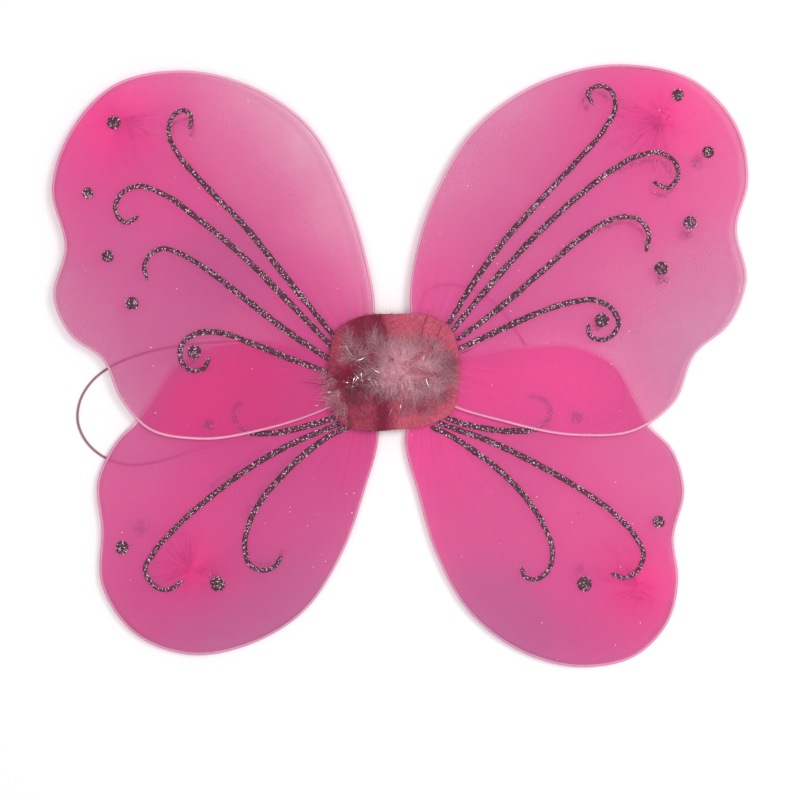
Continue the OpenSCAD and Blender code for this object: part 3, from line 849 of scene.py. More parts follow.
def make_sleeve(wing, parts, seed):
    """A wing's nylon sleeve: a front layer, a rim over the wire, and a back layer gathered at its tie."""
    half, height, root, knot = parts["half"], parts["height"], parts["root"], parts["tie"][:2]
    ring, inward = ring_of(parts["edge"], (root, knot))
    inner = ring + inward * half
    front_share = 1 - ((1 - np.arange(1, FRONT_ROWS) / FRONT_ROWS) ** 1.25)[:, None, None]
    back_share = ((np.arange(BACK_ROWS - 1, 0, -1) / BACK_ROWS) ** 1.3)[:, None, None]
    lap = np.linspace(math.pi / 2, -math.pi / 2, RIM_ROWS)[:, None, None]
    front = root + front_share * (inner - root)
    rim = ring + inward * half * (1 - np.cos(lap))
    back = knot + back_share * (inner - knot)

    outward = math.atan2(*(inner.mean(0) - root)[::-1])
    rng = np.random.default_rng(seed)
    root_folds, tie_folds, lump, crumple = sleeve_folds(wing, front, back, root, knot, outward, rng)
    sag = FRONT_SAG + SWELL_DEPTH * swell(front, seed)
    front_z = height + half - sag * (1 - near(front, inner, SAG_REACH)) - ROOT_CREASE * root_folds
    rim_z = np.broadcast_to(height + half * np.sin(lap[..., 0]), rim.shape[:2])
    rise = SWELL_DEPTH * swell(back, seed) + TIE_CREASE * tie_folds
    back_z = height - half + (1 - near(back, inner, SAG_REACH)) * rise - CRUMPLE_DEPTH * crumple
    points = np.vstack([
        [[*root, height + half - FRONT_SAG]],
        np.dstack([front, front_z]).reshape(-1, 3), np.dstack([rim, rim_z]).reshape(-1, 3),
        np.dstack([back, back_z]).reshape(-1, 3), [[*knot, height - half]]
    ])

    layers = (
        front_values(wing, front, ring, inner, knot, root_folds, seed), rim_values(wing, rim, ring),
        back_values(wing, back, knot, tie_folds, lump, crumple)
    )
    at_root, at_tie = np.array(cloth_values(wing, np.array([root, knot]))).T
    ends = zip((*at_root, 0), (TIED_COVER, TIED_TONE, at_tie[2], 0))
    cover, tone, tint, fold = (
        np.concatenate([[first], *(layer[k].ravel() for layer in layers), [last]])
        for k, (first, last) in enumerate(ends)
    )
    from_tie = points[:, :2] - knot
    fan = fan_strength(wing, from_tie) * (np.arange(len(points)) >= len(points) - back_z.size - 1)
    rows = len(front) + len(rim) + len(back)
    shape = points, closed_faces(rows, len(ring))
    sleeve = add_piece(
        wing + "_sleeve", shape, "nylon", wing + "_wing", "nylon", wing + "_nylon",
        cover=np.clip(cover, 0, .97), tone=np.clip(tone, 0, 1), tint=tint, fold=fold, fan=fan,
        gather_x=from_tie[:, 0], gather_y=from_tie[:, 1]
    )
    return front.reshape(-1, 2)[len(ring) * DUST_FROM_ROW:]


def make_loop(wing, parts):
    """The wing's wire, from one side of the binding round to the other."""
    edge = parts["edge"]
    gaps = np.linalg.norm(np.roll(edge, -1, 0) - edge, axis=1)
    mouth = int(np.argmax(gaps))
    line = refined(np.roll(edge, -mouth - 1, 0), 2.5 * MM)
    ahead = unit(np.gradient(line, axis=0))
    line = line + left_of(ahead) * parts["half"]
    line = np.column_stack([line, np.full(len(line), parts["height"])])

    def uneven(row, angle):
        return 1 + .03 * np.sin(row * .9 + 2 * angle) + .02 * np.sin(row * 2.3)

    shape = tube(line, parts["wire_r"], 12, uneven)
    add_piece(wing + "_loop", shape, "coated_wire", wing + "_wing", "coated_wire", wing + "_wire")


def make_gather(wing, parts):
    """The tied end of the sleeve on the wing's back: a pleated neck and tuft, and thread wound round it."""
    x, y, z = parts["tie"]
    low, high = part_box(wing + "_gather_tie")
    neck_r = (high.x - low.x) / 2 - (high.z - low.z)
    top = parts["height"] - parts["half"] + .2 * MM
    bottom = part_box(wing + "_nylon")[0].z
    heights = (top, z + .5 * MM, z - .5 * MM, (z + bottom) / 2 - .3 * MM, bottom)
    widths = (2.2, 1.05, 1, 1.5, 2.05)
    rows = np.linspace(0, 1, 14)
    at = np.linspace(0, 1, len(heights))
    turns = around(72)
    radius = np.interp(rows, at, widths)[:, None] * neck_r * (1 + .16 * np.sin(18 * turns) * rows[:, None])
    ruffle = .35 * MM * np.sin(7 * turns + 1) * (rows[:, None] > .8)
    level = np.interp(rows, at, heights)[:, None] + ruffle
    points = np.dstack([x + radius * np.cos(turns), y + radius * np.sin(turns), level]).reshape(-1, 3)
    cover = np.full(len(points), .9)
    add_piece(
        wing + "_gathered_end", (points, row_faces(len(rows), len(turns))), "nylon", wing + "_wing", "nylon",
        wing + "_nylon", cover=cover, tone=cover, fold=cover * 0, fan=cover * 0,
        gather_x=cover, gather_y=cover
    )
    thread_r = .2 * MM
    coil = np.linspace(0, 5 * 2 * math.pi, 150)
    pitch = (high.z - low.z - 2 * thread_r) / coil[-1]
    wound = (neck_r + thread_r) * (1 + .12 * np.sin(coil * .37))
    rise = low.z + thread_r + pitch * coil
    line = np.column_stack([x + wound * np.cos(coil), y + wound * np.sin(coil), rise])
    shape = tube(line, thread_r, 8)
    add_piece(wing + "_thread", shape, "thread", wing + "_wing", "thread", wing + "_gather_tie")


def add_flakes(name, wing, nodes, centres, normals, rng, low=.20 * MM, high=.40 * MM, dark=.9):
    """Six-sided glitter flakes from low to high in radius. A share is dark, and the others are bigger and
    painted bright as glints.
    """
    count = len(centres)
    normal = unit(normals + rng.normal(0, .38, (count, 3)))
    one = unit(np.cross(normal, rng.normal(0, 1, (count, 3))))
    other = np.cross(normal, one)
    bright = rng.uniform(0, 1, count)
    size = (rng.uniform(low, high, count) * np.where(bright < dark, 1, 1.3))[:, None, None]
    turns = np.arange(6) * math.pi / 3
    points = centres[:, None] + size * (
        np.cos(turns)[None, :, None] * one[:, None] + np.sin(turns)[None, :, None] * other[:, None]
    )
    # Dark flakes, and painted glints on the bright ones
    shine = np.where(bright < dark, bright / dark * .66, .70 + .30 * (bright - dark) / (1 - dark))
    shape = points.reshape(-1, 3), [np.arange(count * 6).reshape(count, 6)]
    shine = np.repeat(shine, 6)
    add_piece(name, shape, "flakes", wing + "_wing", "glitter_glue", *nodes, smooth=False, shine=shine)


def make_swirl(wing, number, seed):
    """A bead of uneven half-round glitter glue along a CAD line, covered in flakes. Gives back the line."""
    rng = np.random.default_rng(seed)
    node = f"{wing}_swirl_{number}"
    rough, rough_widths = middle_line(top_outlines(node)[0])
    line = refined(rough, LINE_GAP)
    width = np.interp(np.linspace(0, 1, len(line)), np.linspace(0, 1, len(rough)), rough_widths)
    low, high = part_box(node)
    tall = high.z - low.z
    ahead = unit(np.gradient(line, axis=0))
    side = left_of(ahead)
    wander = lumps(rng, len(line), 3, 6)
    width = width * (1 + .10 * wander[:, 0])
    line = line + side * (.12 * MM * wander[:, 1:2])
    last = np.arange(len(line))
    rounded = np.sqrt(np.clip(np.minimum(last + .6, last[::-1] + .6) / 3.5, 0, 1))
    turns = np.linspace(0, math.pi, 9)
    lumpy = 1 + .09 * lumps(rng, len(line), len(turns), 3)
    reach = (width * rounded / 2)[:, None] * np.cos(turns) * lumpy
    rise = low.z - .1 * MM + tall * (rounded[:, None] * np.sin(turns) ** .8 * lumpy)
    flat = line[:, None] + side[:, None] * reach[..., None]
    points = np.dstack([flat, rise]).reshape(-1, 3)
    shape = points, row_faces(len(line), len(turns), False)
    add_piece(node + "_bead", shape, "bead", wing + "_wing", "glitter_glue", node)

    length = np.linalg.norm(np.diff(line, axis=0), axis=1).sum()
    count = int(length * width.mean() / MM ** 2 * FLAKES_PER_MM2)
    at = rng.integers(0, len(line), count)
    across = rng.uniform(-1.04, 1.04, count)
    lift = np.sqrt(np.clip(1 - across ** 2, 0, 1))
    middle = line[at] + ahead[at] * rng.uniform(-.3, .3, (count, 1)) * MM
    centre = middle + side[at] * (across * width[at] * rounded[at] / 2)[:, None]
    tops = low.z + .05 * MM + tall * rounded[at] * lift ** .8
    normal = np.column_stack([side[at] * across[:, None] * .8, lift + .3])
    add_flakes(node + "_flakes", wing, [node], np.column_stack([centre, tops]), normal, rng)
    return line


def make_dots(wing, seed):
    """Domed drops of glitter glue with flakes on them."""
    rng = np.random.default_rng(seed)
    node = wing + "_dots"
    low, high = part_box(node)
    tall = high.z - low.z
    domes, centres, normals = [], [], []
    turns = around(40)
    for outline in top_outlines(node):
        middle = (outline.min(0) + outline.max(0)) / 2
        radius = (outline.max(0) - outline.min(0)).mean() / 2
        slow, fast = rng.uniform(0, 6, 2)
        wobble = 1 + .05 * np.sin(3 * turns + slow) + .04 * np.sin(7 * turns + fast)
        share = np.linspace(.12, 1, 9)[:, None]
        spread = radius * share * wobble
        dome = low.z - .1 * MM + tall * np.sqrt(np.clip(1.01 - share ** 2, 0, 1))
        rise = dome + rng.normal(0, .05 * MM, spread.shape)
        rows = np.dstack([middle[0] + spread * np.cos(turns), middle[1] + spread * np.sin(turns), rise])
        top = [[*middle, low.z + tall]]
        domes.append((np.vstack([top, rows.reshape(-1, 3)]), row_faces(9, len(turns), True, True)))
        count = int(math.pi * (radius / MM) ** 2 * FLAKES_PER_MM2)
        out = np.sqrt(rng.uniform(0, 1, count)) * 1.03
        turn = rng.uniform(0, 2 * math.pi, count)
        way = way_of(turn)
        centres.append(np.column_stack([
            middle + way * (out * radius)[:, None], low.z + tall * np.sqrt(np.clip(1.06 - out ** 2, .03, 1))
        ]))
        normals.append(np.column_stack([way * out[:, None] * .5, np.ones(count)]))
    add_piece(node + "_drops", join(domes), "bead", wing + "_wing", "glitter_glue", node)
    add_flakes(node + "_flakes", wing, [node], np.vstack(centres), np.vstack(normals), rng)


def make_stray_glitter(wing, parts, lines, cloth, seed):
    """Glitter that went through to the back layer, and loose flakes on the front one."""
    rng = np.random.default_rng(seed)
    inside = parts["height"] - parts["half"] + .35 * MM
    places = []
    for number, start, end, x, y in BACK_GLITTER[wing]:
        line = lines[number - 1]
        part = line[int(start * (len(line) - 1)):int(end * (len(line) - 1))] + np.array((x, y)) * MM
        at = rng.integers(0, len(part), len(part) * 6)
        places.append(part[at] + rng.normal(0, .85 * MM, (len(at), 2)))
    for x, y, size in BACK_BLOTS[wing]:
        count = int(size * 26)
        places.append(np.array((x, y)) * MM + rng.normal(0, size / 3.4 * MM, (count, 2)))
    below = np.vstack(places)
    below = np.column_stack([below, np.full(len(below), inside)])
    add_flakes(wing + "_back_glitter", wing, [], below, UP, rng, dark=.86)
    # Loose flakes on the front layer, most of them painted glints
    above = cloth[rng.integers(0, len(cloth), DUST_FLAKES)]
    top = parts["height"] + parts["half"] + .15 * MM
    above = np.column_stack([above, np.full(len(above), top)])
    add_flakes(wing + "_glitter_dust", wing, [], above, UP, rng, .18 * MM, .36 * MM, dark=.2)


for wing_seed, wing_name in enumerate(WINGS, 1):
    wing_facts = wing_parts(wing_name)
    make_loop(wing_name, wing_facts)
    wing_cloth = make_sleeve(wing_name, wing_facts, wing_seed)
    make_gather(wing_name, wing_facts)
    wing_lines = [make_swirl(wing_name, n, 10 * wing_seed + n) for n in range(1, SWIRLS[wing_name] + 1)]
    make_dots(wing_name, 10 * wing_seed + 5)
    make_stray_glitter(wing_name, wing_facts, wing_lines, wing_cloth, 10 * wing_seed + 6)


# ------------------------------------------------------------------ centre

def radius_at(outline, angles):
    """How far a closed outline lies from the origin at angles."""
    turns = np.arctan2(outline[:, 1], outline[:, 0])
    order = np.argsort(turns)
    return np.interp(angles, turns[order], np.linalg.norm(outline, axis=1)[order], period=2 * math.pi)


def felt_shell(outline, low, high, angles, relief, wrap=False):
    """A felt shape round the origin with rounded edges. relief(x, y) raises both of its faces."""
    thick = high - low
    edge = radius_at(outline, angles)
    out = np.linspace(0, 1, FELT_ROWS + 1)[1:-1, None]
    lap = np.linspace(math.pi / 2, -math.pi / 2, 7)[:, None]
    inner = edge - thick / 2
    spread = np.vstack([inner * out, inner + thick / 2 * np.cos(lap), inner * out[::-1]])
    level = np.concatenate([
        np.full(len(out), high), (low + high) / 2 + thick / 2 * np.sin(lap[:, 0]), np.full(len(out), low)
    ])
    x, y = spread * np.cos(angles), spread * np.sin(angles)
    z = level[:, None] + relief(x, y)
    middle = relief(0, 0)
    sides = np.dstack([x, y, z]).reshape(-1, 3)
    points = np.vstack([[[0, 0, high + middle]], sides, [[0, 0, low + middle]]])
    return points, row_faces(len(spread), len(angles), wrap, True, True)


PATCH_LOW, PATCH_HIGH = (corner.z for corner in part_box("front_patch"))
PATCH_EDGE = refined(max(top_outlines("front_patch"), key=len), 1.5 * MM, closed=True)
HALVES = {"left": (math.pi / 2, 3 * math.pi / 2), "right": (-math.pi / 2, math.pi / 2)}


def add_half(name, shape, look, side, slot, node, **values):
    """A piece of one half of the patch, which stands for a CAD node and hides it. slot is not used."""
    piece = add_mesh(f"{side}_{name}", *shape, look, **values)
    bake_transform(piece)
    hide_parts(node)


def ridge_at(y):
    """Where the wire under the patch raises it, in MM."""
    return -9 + (38 - y) * .31


def patch_relief(x, y):
    """Felt over wires and glue: soft humps, a ridge over a wire and a curling edge."""
    x, y = x / MM, y / MM
    humps = .45 * np.sin(x / 7 + 1) * np.sin(y / 9 + .5) + .3 * np.sin((x + 2 * y) / 6)
    ridge = .8 * np.exp(-((x - ridge_at(y)) / 2.2) ** 2) * np.clip((y - 14) / 8, 0, 1)
    curl = .8 * np.clip((np.hypot(x, y) - 34) / 8, 0, 1) ** 2 * np.sin(np.arctan2(y, x) * 5)
    return (humps + ridge + curl) * MM


def patch_shade(x, y):
    """Darker red at the left and below, lighter at the right and above. Painted shade beside the ridge and
    in a crease, and a hollow at the left that is partly the felt's own deep red and partly painted shade.
    """
    x, y = x / MM, y / MM
    left = np.clip((4 - x) / 16, 0, 1)
    # Painted shade on the side of the ridge away from the light
    fold = .4 * (x < ridge_at(y)) * np.clip((y - 12) / 8, 0, 1) * np.clip((x + 36) / 14, 0, 1)
    # Painted shade in a crease below the middle
    crease_shade = .5 * np.exp(-((x + 7) / 6) ** 2) * np.clip((-y - 2) / 14, 0, 1)
    # The hollow at the left: partly the felt's own deep red, partly painted shade
    hollow_red_and_shade = .8 * np.exp(-((x + 27) / 11) ** 2 - ((y + 5) / 9) ** 2)
    return np.clip(.14 + .5 * left * left * (3 - 2 * left) + fold + crease_shade + hollow_red_and_shade, 0, 1.1)


def make_patch(side):
    start, end = HALVES[side]
    shape = felt_shell(PATCH_EDGE, PATCH_LOW, PATCH_HIGH, np.linspace(start, end, 91), patch_relief)
    add_half("patch", shape, "patch", side, "felt_patch", "front_patch", shade=patch_shade(*shape[0].T[:2]))


def make_fuzz(side, seed):
    """Loose fibres on the patch and round its edge."""
    rng = np.random.default_rng(seed)
    start, end = HALVES[side]
    count, length = PATCH_FIBRES, 5
    angle = rng.uniform(start, end, count)
    out = np.sqrt(rng.uniform(.02, 1, count)) * radius_at(PATCH_EDGE, angle)
    base = np.column_stack([out * np.cos(angle), out * np.sin(angle)])
    way = rng.uniform(0, 2 * math.pi, count)
    long = rng.uniform(1.2, 4.2, count) * MM
    share = np.linspace(0, 1, length)
    bend = rng.normal(0, .9, count)
    turn = way[:, None] + bend[:, None] * share
    x = base[:, :1] + np.cumsum(np.cos(turn), 1) * long[:, None] / length
    y = base[:, 1:] + np.cumsum(np.sin(turn), 1) * long[:, None] / length
    lift = rng.uniform(.1, .9, count)[:, None] * MM * np.sin(share * math.pi * .8)
    z = PATCH_HIGH + patch_relief(x, y) + lift
    widths = np.full((count, length), FIBRE_WIDE) * (1.1 - share)
    # Fibres are darker where the patch has its darker red and its painted shade
    tone = np.clip(rng.uniform(.2, 1.3, count) - .95 * patch_shade(base[:, 0], base[:, 1]), 0, 1)
    shape = ribbons(np.dstack([x, y, z]), widths)
    tones = np.repeat(tone, 2 * length)
    add_half("patch_fibres", shape, "fuzz", side, "felt_patch", "front_patch", tone=tones)


def plume(start, way, long, tall, tone, rng):
    """A marabou feather: the lines, widths and tones of the soft barbs at both sides of its curved quill."""
    share = np.linspace(0, 1, 9)
    turn = way + rng.uniform(-.9, .9) * share
    flat = way_of(turn)
    ground = start + np.cumsum(flat, 0) * long / len(share)
    arch = np.sin(np.clip(share * 1.15, 0, 1) * math.pi) ** .8
    rise = PATCH_HIGH + .6 * MM + tall * arch + .4 * MM * share
    quill = np.column_stack([ground, rise])
    count, length = int(long / BARB_GAP) * 2, 6
    at = rng.uniform(.04, 1, count)
    base = np.stack([np.interp(at, share, quill[:, k]) for k in range(3)], 1)
    ahead = np.stack([np.interp(at, share, flat[:, k]) for k in range(2)], 1)
    side = np.where(np.arange(count) % 2, 1, -1)[:, None] * left_of(ahead)
    fullness = np.sin(np.clip(at * 1.1, 0, 1) * math.pi * .8 + .3)
    reach = (3.2 + 5.2 * fullness) * MM * rng.uniform(.6, 1.25, count)
    out = np.linspace(0, 1, length)
    open_angle = rng.uniform(.55, 1.25, count)
    first = side * np.sin(open_angle)[:, None] + ahead * np.cos(open_angle)[:, None]
    curl = ahead * rng.uniform(-.1, .7, (count, 1)) + rng.normal(0, .28, (count, 2))
    flat_lines = base[:, None, :2] + reach[:, None, None] * (
        first[:, None] * out[None, :, None] + curl[:, None] * (out ** 2)[None, :, None]
    )
    lift = rng.normal(.12, .32, count)[:, None] * out - .45 * out ** 2
    heights = base[:, 2:] + reach[:, None] * lift
    heights = np.maximum(heights, PATCH_HIGH + .3 * MM + rng.uniform(0, .8, (count, 1)) * MM)
    lines = np.dstack([flat_lines, heights])
    widths = rng.uniform(.09, .17, (count, 1)) * MM * (1.05 - out)
    tones = np.clip(tone + rng.normal(0, .13) + rng.normal(0, .2, count) - .125, 0, 1)
    return lines, widths, tones


# Marabou feathers: (x, y, way in degrees, length, height, tone), lengths in MM. The tone is partly the
# feathers' own mix and partly painted shade, low in the hollow at the left
PLUMES = {
    "left": [
        (-6, 2, 165, 18, 7, .6), (-4, 4, 130, 20, 6, .6), (-8, 2, 195, 16, 6, .5), (-6, -3, 232, 15, 6, .45),
        (-12, -2, 250, 13, 5, .35), (-14, 6, 150, 18, 6, .5), (-22, 8, 140, 14, 4, .5),
        (-20, -6, 245, 15, 4, .15), (-24, -7, 230, 11, 4, .1), (-20, 8, 110, 14, 4, .6),
        (-3, -3, 268, 15, 6, .7), (-12, 8, 100, 13, 4, .6), (-2, 0, 185, 16, 8, .85),
        (-2, 6, 120, 14, 6, .7), (-10, 12, 105, 13, 5, .6), (0, 0, 225, 13, 7, .8),
        (-1, -1, 200, 12, 8, .95), (-4, 10, 75, 14, 5, .7), (5, 5, 200, 15, 8, .85),
        (6, -1, 172, 14, 8, .95), (-36, -6, 190, 12, 3, .6), (-33, -12, 212, 14, 3, .65),
        (-31, -19, 228, 11, 3, .5), (-26, 16, 120, 11, 3, .55)
    ],
    "right": [
        (6, 2, 20, 24, 7, .85), (8, 5, 55, 18, 6, .8), (5, 0, 345, 24, 7, .8), (9, -3, 315, 20, 6, .7),
        (6, -4, 285, 16, 7, .8), (12, 2, 0, 22, 6, .85), (16, 4, 30, 18, 5, .65), (18, -2, 335, 20, 5, .7),
        (20, -5, 310, 14, 5, .55), (14, -6, 280, 11, 5, .7), (10, 8, 85, 14, 4, .75),
        (4, 6, 120, 16, 6, .85), (22, 4, 15, 14, 4, .6), (24, -6, 295, 10, 4, .6), (3, -2, 262, 17, 6, .85),
        (11, 0, 190, 14, 8, .95), (26, -2, 350, 12, 3, .65), (2, 2, 60, 18, 7, .85),
        (14, 10, 70, 15, 5, .65), (24, 8, 60, 13, 4, .6), (1, 4, 95, 16, 6, .8), (5, -2, 235, 15, 8, .95),
        (3, 0, 320, 14, 8, .95), (28, 2, 30, 14, 3, .55), (0, 2, 150, 14, 8, .85), (-5, 3, 8, 17, 8, .95),
        (-3, -3, 330, 15, 8, .9), (24, 5, 8, 17, 4, .4), (26, -3, 348, 15, 4, .5),
        (18, -14, 300, 14, 3, .35), (8, -15, 285, 13, 3, .45), (25, -12, 325, 13, 3, .35)
    ]
}


def make_marabou(seed):
    """Fluff of all the plumes. Each strand goes with the half that most of it lies over."""
    rng = np.random.default_rng(seed)
    lines, widths, tones = [], [], []
    for x, y, way, long, tall, tone in PLUMES["left"] + PLUMES["right"]:
        for copy in range(2):
            start = np.array((x, y)) * MM + rng.normal(0, 2 * MM, 2) * copy
            turned = math.radians(way + rng.normal(0, 16) * copy)
            made = plume(start, turned, long * MM * (1 - .15 * copy), tall * MM, tone, rng)
            for kept, new in zip((lines, widths, tones), made):
                kept.append(new)
    lines, widths, tones = np.vstack(lines), np.vstack(widths), np.concatenate(tones)
    rolls = rng.normal(0, .6, len(lines))
    lies_right = lines[..., 0].mean(1) > 0
    for side, ours in (("left", ~lies_right), ("right", lies_right)):
        shape = ribbons(lines[ours], widths[ours], rolls[ours, None])
        shades = np.repeat(tones[ours], 2 * lines.shape[1])
        add_half("marabou", shape, "marabou", side, "feather", "feather_trim", tone=shades)


# Foil strands: (x, y, way in degrees, length, bend, tone), lengths in MM
FOIL = {
    "left": [
        (-33, 18, -52, 24, .3, 1), (-30, 6, -60, 18, .4, 1), (-24, 2, -120, 20, -.5, .8),
        (-22, 0, -80, 16, .3, 1), (-20, 2, -55, 14, .4, 1), (-42, 10, -75, 18, -.3, .7),
        (-40, -6, -8, 12, .1, .5), (-28, 3, 150, 12, .3, .4), (-26, -3, -105, 14, .2, 1),
        (-18, -1, -62, 18, .2, .8), (-14, -4, -70, 14, -.2, .6), (-34, -8, 8, 12, .7, .9),
        (-31, -5, 55, 9, -.5, .9), (-24, 4, -30, 10, .6, 1), (-16, 4, -45, 9, .5, 1),
        (-20, -14, -60, 14, .2, .4), (-2, -24, -108, 14, .1, .9), (-38, -14, 175, 10, .2, .4),
        (-12, 0, -75, 12, .2, .7), (-50, -22, 190, 6, .2, .6), (-30, 10, -20, 12, .8, .3),
        (-34, 6, 30, 9, -.9, .4)
    ],
    "right": [
        (9, 3, -118, 17, .1, .9), (14, -6, -112, 8, .1, .8), (5, -18, -105, 10, .1, .4),
        (10, 12, -6, 12, -.2, .6), (22, 5, -30, 12, -.6, .5), (34, -3, 12, 8, .4, .6),
        (2, 16, -48, 10, .1, .5), (20, -4, -70, 10, .2, .4), (18, 6, 75, 8, .1, .4)
    ]
}
# Short glints of foil: how many, about which place and how widely, in MM
GLINTS = {"left": (22, -26, -4, 8, 9), "right": (12, 12, -4, 13, 14)}
# Dark hairs: (x, y, way in degrees, length, bend)
HAIRS = {
    "left": [
        (-44, -9, 172, 17, .05), (-32, -15, -82, 12, .1), (-34, 1, 160, 9, .3), (-22, 2, 92, 6, .2),
        (-27, -18, -60, 10, .2), (-36, -3, 185, 12, -.1), (-30, -26, -90, 12, .05), (-3, -8, -95, 9, .1)
    ],
    "right": [
        (19, 30, 72, 11, .05), (17, 22, 78, 9, .05), (27, 22, 66, 9, .1), (24, 14, 70, 8, -.1),
        (4, -12, -120, 9, .1), (14, -8, -100, 9, .1), (40, 20, 48, 12, .2), (43, 12, 20, 10, .1)
    ]
}


def wisps(rows, length, base_lift, tall, rng):
    """Curved lines lying over the fluff."""
    share = np.linspace(0, 1, length)
    lines = []
    for x, y, way, long, bend in rows:
        turn = math.radians(way) + bend * 2 * (share - .3)
        steps = way_of(turn) * long * MM / length
        flat = np.array((x, y)) * MM + np.cumsum(steps, 0)
        over = np.clip(1 - np.linalg.norm(flat, axis=1) / (46 * MM), 0, 1)
        height = PATCH_HIGH + base_lift + tall * over + rng.uniform(.3, 1.6) * MM * np.sin(share * math.pi)
        lines.append(np.column_stack([flat, height]))
    return np.array(lines)


def make_foil(side, seed):
    rng = np.random.default_rng(seed)
    length = 14
    count, x, y, wide, tall = GLINTS[side]
    rows = list(FOIL[side])
    for _ in range(count):
        place_at = (rng.normal(x, wide * .6), rng.normal(y, tall * .6))
        way, long, bend, tone = (rng.uniform(*ends) for ends in ((0, 360), (1.5, 5), (-.5, .5), (.5, 1)))
        rows.append((*place_at, way, long, bend, tone))
    lines = wisps([row[:5] for row in rows], length, 2.5 * MM, 7 * MM, rng)
    widths = np.full(lines.shape[:2], FOIL_WIDE) * np.linspace(1, .5, length)
    twist = rng.uniform(-4, 4, (len(lines), 1)) * np.linspace(0, 1, length)
    shape = ribbons(lines, widths, rng.uniform(-1, 1, (len(lines), 1)) + twist)
    tones = np.repeat([row[5] for row in rows], 2 * length)
    add_half("tinsel", shape, "foil", side, "tinsel", "tinsel", tone=tones)


def make_hairs(side, seed):
    rng = np.random.default_rng(seed)
    length = 10
    lines = wisps(HAIRS[side], length, 2.2 * MM, 6 * MM, rng)
    widths = np.full(lines.shape[:2], HAIR_WIDE) * np.linspace(1, .35, length)
    tones = np.full(2 * widths.size, .4)
    add_half("dark_hairs", ribbons(lines, widths), "hair", side, "feather", "feather_trim", tone=tones)


for half_seed, half_side in enumerate(HALVES, 60):
    make_patch(half_side)
    make_fuzz(half_side, half_seed)
    make_foil(half_side, half_seed + 20)
    make_hairs(half_side, half_seed + 30)
make_marabou(70)


def make_pad():
    """The felt pad against the wearer's back, with whip stitches round its edge."""
    low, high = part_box("back_pad")
    edge = refined(max(top_outlines("back_pad"), key=len), 1.5 * MM, closed=True)

    def quilting(x, y):
        return .12 * MM * np.sin(x / (5 * MM)) * np.sin(y / (6 * MM))

    angles = around(240)
    shape = felt_shell(edge, low.z + .12 * MM, high.z - .12 * MM, angles, quilting, wrap=True)
    shade = np.full(len(shape[0]), .4)
    add_piece("back_pad_felt", shape, "pad", "root", "felt_back", "back_pad", shade=shade)
    stitched = refined(edge, 5 * MM, closed=True)
    ahead = unit(np.roll(stitched, -1, 0) - np.roll(stitched, 1, 0))
    inward = left_of(ahead)
    share = np.linspace(-.12, 1.12, 9)[:, None] * math.pi
    height = (low.z + high.z) / 2 + (high.z - low.z) / 2 * np.clip(np.cos(share) * 1.6, -1, 1)
    stitches = []
    for spot, lean, way in zip(stitched, inward, ahead):
        flat = spot + lean * (2.6 * np.abs(np.cos(share)) - .1) * MM + way * np.cos(share) * .8 * MM
        stitches.append(tube(np.column_stack([flat, height]), STITCH_R, 6))
    add_piece("back_pad_stitches", join(stitches), "thread", "root", "thread", "back_pad")


def stadium(count, flat, radius):
    """Points round a shape with two half-round ends and flat faces: across, up and the way out."""
    turns = around(count)
    across = np.cos(turns) * radius + np.clip(np.cos(turns) * 6, -1, 1) * flat
    return across, np.sin(turns) * radius, turns


def make_binding():
    """Tape wound round and round the bound wire ends."""
    low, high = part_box("binding_tape")
    radius = (high.z - low.z) / 2
    flat = (high.x - low.x) / 2 - radius
    across, up, turns = stadium(72, flat, radius - .3 * MM)
    rows = np.linspace(low.y, high.y, 90)[:, None]
    lap = ((rows / (6 * MM) + turns / (2 * math.pi)) % 1) * .28 * MM
    end = 1 - .25 * np.clip((np.abs(rows) - (high.y - 1.2 * MM)) / (1.2 * MM), 0, 1) ** 2
    middle = (low.z + high.z) / 2
    x = (across + lap * np.sign(across) * np.abs(np.cos(turns))) * end
    z = middle + (up + lap * np.sin(turns)) * end
    points = np.dstack([x, np.broadcast_to(rows, x.shape), z]).reshape(-1, 3)
    points = np.vstack([[[0, low.y, middle]], points, [[0, high.y, middle]]])
    shape = points, closed_faces(len(rows), len(turns))
    add_piece("binding_winding", shape, "tape", "root", "binding_tape", "binding_tape")


def make_glue():
    """A lumpy bed of hot glue between the pad and the binding."""
    low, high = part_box("glue_bed")
    rng = np.random.default_rng(91)
    centre, half = (np.array(low) + np.array(high)) / 2, (np.array(high) - np.array(low)) / 2
    turns = around(64)
    rows = np.linspace(-1, 1, 13)[1:-1]
    bulge = 1 + .1 * lumps(rng, len(turns), 1, 5)[:, 0]
    x = boxy(np.cos(turns), .5) * half[0] * bulge
    y = boxy(np.sin(turns), .5) * half[1] * bulge
    size = (1.12 - .25 * rows ** 2)[:, None]
    z = centre[2] + half[2] * np.broadcast_to(rows[:, None], (len(rows), len(turns)))
    ring = np.dstack([centre[0] + x * size, centre[1] + y * size, z]).reshape(-1, 3)
    points = np.vstack([[centre - [0, 0, half[2]]], ring, [centre + [0, 0, half[2]]]])
    shape = points, closed_faces(len(rows), len(turns))
    add_piece("glue_blob", shape, "glue", "root", "hot_glue", "glue_bed")


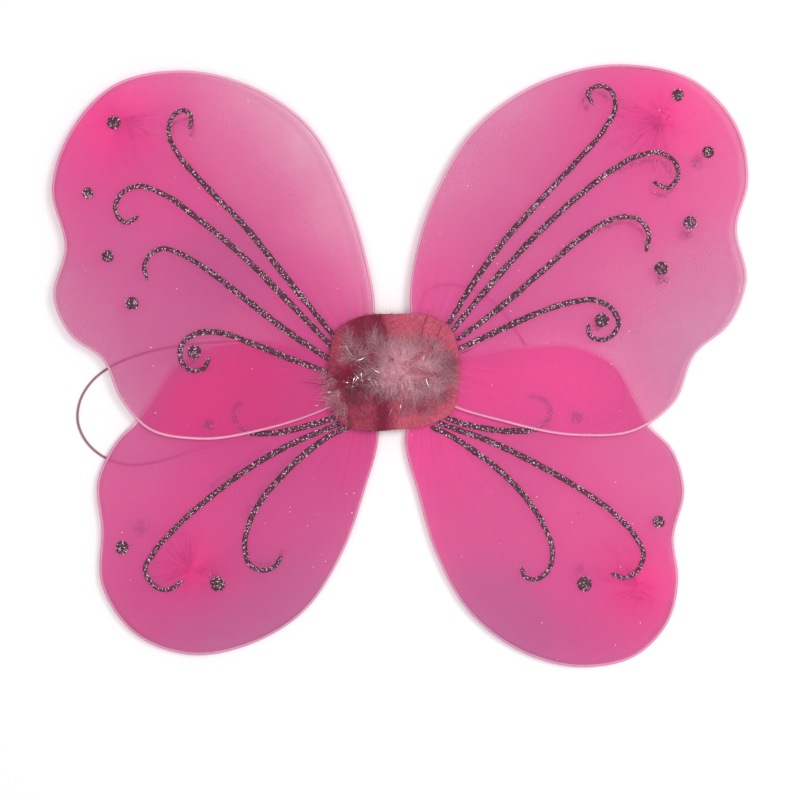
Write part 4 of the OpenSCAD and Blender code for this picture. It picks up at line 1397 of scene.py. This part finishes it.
def tab_shape(end, away, low, high):
    """A folded tab that lies from a strap's end inwards, pinched in the middle and at its own ends."""
    side = np.array([-away[1], away[0]])
    lengths = np.linspace(0, 1, 22)
    turns = around(32)
    across = boxy(np.cos(turns), .35) * TAB_WIDE / 2
    up = boxy(np.sin(turns), .6) * (high - low) / 2
    ends = np.clip(np.abs(lengths - .5) * 2 - .9, 0, 1)
    pinch = 1 - .25 * np.exp(-((lengths - .5) / .09) ** 2) - ends
    spine = end - away * (lengths * TAB_LONG)[:, None]
    flat = spine[:, None] + side * (across * np.clip(pinch, .5, 1)[:, None] ** .3)[..., None]
    height = (low + high) / 2 + up * pinch[:, None]
    start_cap, end_cap = ([[*spine[k], (low + high) / 2]] for k in (0, -1))
    points = np.vstack([start_cap, np.dstack([flat, height]).reshape(-1, 3), end_cap])
    return points, closed_faces(len(lengths), len(turns))


def cross_shape(end, away, lean, high):
    """One thread of the cross that is sewn through a tab."""
    side = np.array([-away[1], away[0]])
    share = np.linspace(-1, 1, 9)[:, None]
    cross = end - away * TAB_LONG / 2 + away * share * 2.2 * MM + side * share * lean * 1.6 * MM
    top = high + .15 * MM - .55 * MM * np.abs(share) ** 6 - .3 * MM * np.exp(-(share / .25) ** 2)
    return tube(np.column_stack([cross, top]), STITCH_R, 6)


def make_tabs(name):
    """Folded tabs that hold a strap's ends, each with a stitched cross."""
    low, high = (corner.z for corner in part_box(name))
    route = np.array(STRAP_ROUTES[name.replace("_tacks", "")])[:, :2]
    tabs, crosses = [], []
    for end, after in ((route[0], route[1]), (route[-1], route[-2])):
        away = unit(after - end)
        tabs.append(tab_shape(end, away, low, high))
        crosses += [cross_shape(end, away, lean, high) for lean in (-1, 1)]
    add_piece(name.replace("tacks", "tabs"), join(tabs), "tab", "root", "stitched_tab", name)
    add_piece(name.replace("tacks", "stitches"), join(crosses), "thread", "root", "thread", name)


make_pad()
make_binding()
make_glue()
for tack_name in ("left_strap_tacks", "right_strap_tacks"):
    make_tabs(tack_name)
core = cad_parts["wire_core"]
core.data.materials.clear()
core.data.materials.append(LOOKS["steel"])


# ------------------------------------------------------------------ floor and light

# Just under the wings, and wide enough to fill the picture from any side
FLOOR_LEVEL = -.02 * MM
FLOOR_REACH = 6


def make_floor():
    corners = np.array([(x, y, FLOOR_LEVEL) for x, y in ((-1, -1), (1, -1), (1, 1), (-1, 1))])
    corners[:, :2] *= FLOOR_REACH
    add_mesh("floor", corners, [np.array([[0, 1, 2, 3]])], "floor")


def make_lamp(name, place_at, size, power):
    """A square lamp that faces the wings."""
    data = bpy.data.lights.new(name, "AREA")
    data.size = size
    data.energy = power
    lamp = bpy.data.objects.new(name, data)
    lamp.location = place_at
    back = lamp.location.copy()
    back.z -= .01
    lamp.rotation_euler = back.to_track_quat("Z", "Y").to_euler()
    bpy.context.scene.collection.objects.link(lamp)


def make_light():
    make_lamp("key", (.85, .3, 1.9), .7, 17)
    make_lamp("fill", (-.1, -.2, 2.3), 1.5, 24)
    world = bpy.data.worlds.new("studio")
    world.use_nodes = True
    nodes, links = world.node_tree.nodes, world.node_tree.links
    sky = nodes["Background"]
    seen = nodes.new("ShaderNodeLightPath")
    level = nodes.new("ShaderNodeMapRange")
    level.inputs["To Min"].default_value = .40
    level.inputs["To Max"].default_value = .96
    links.new(seen.outputs["Is Camera Ray"], level.inputs["Value"])
    links.new(level.outputs["Result"], sky.inputs["Strength"])
    sky.inputs["Color"].default_value = (1, 1, 1, 1)
    bpy.context.scene.world = world


make_floor()
make_light()
bpy.context.scene.view_settings.view_transform = "Standard"
bpy.context.scene.cycles.transparent_max_bounces = 24
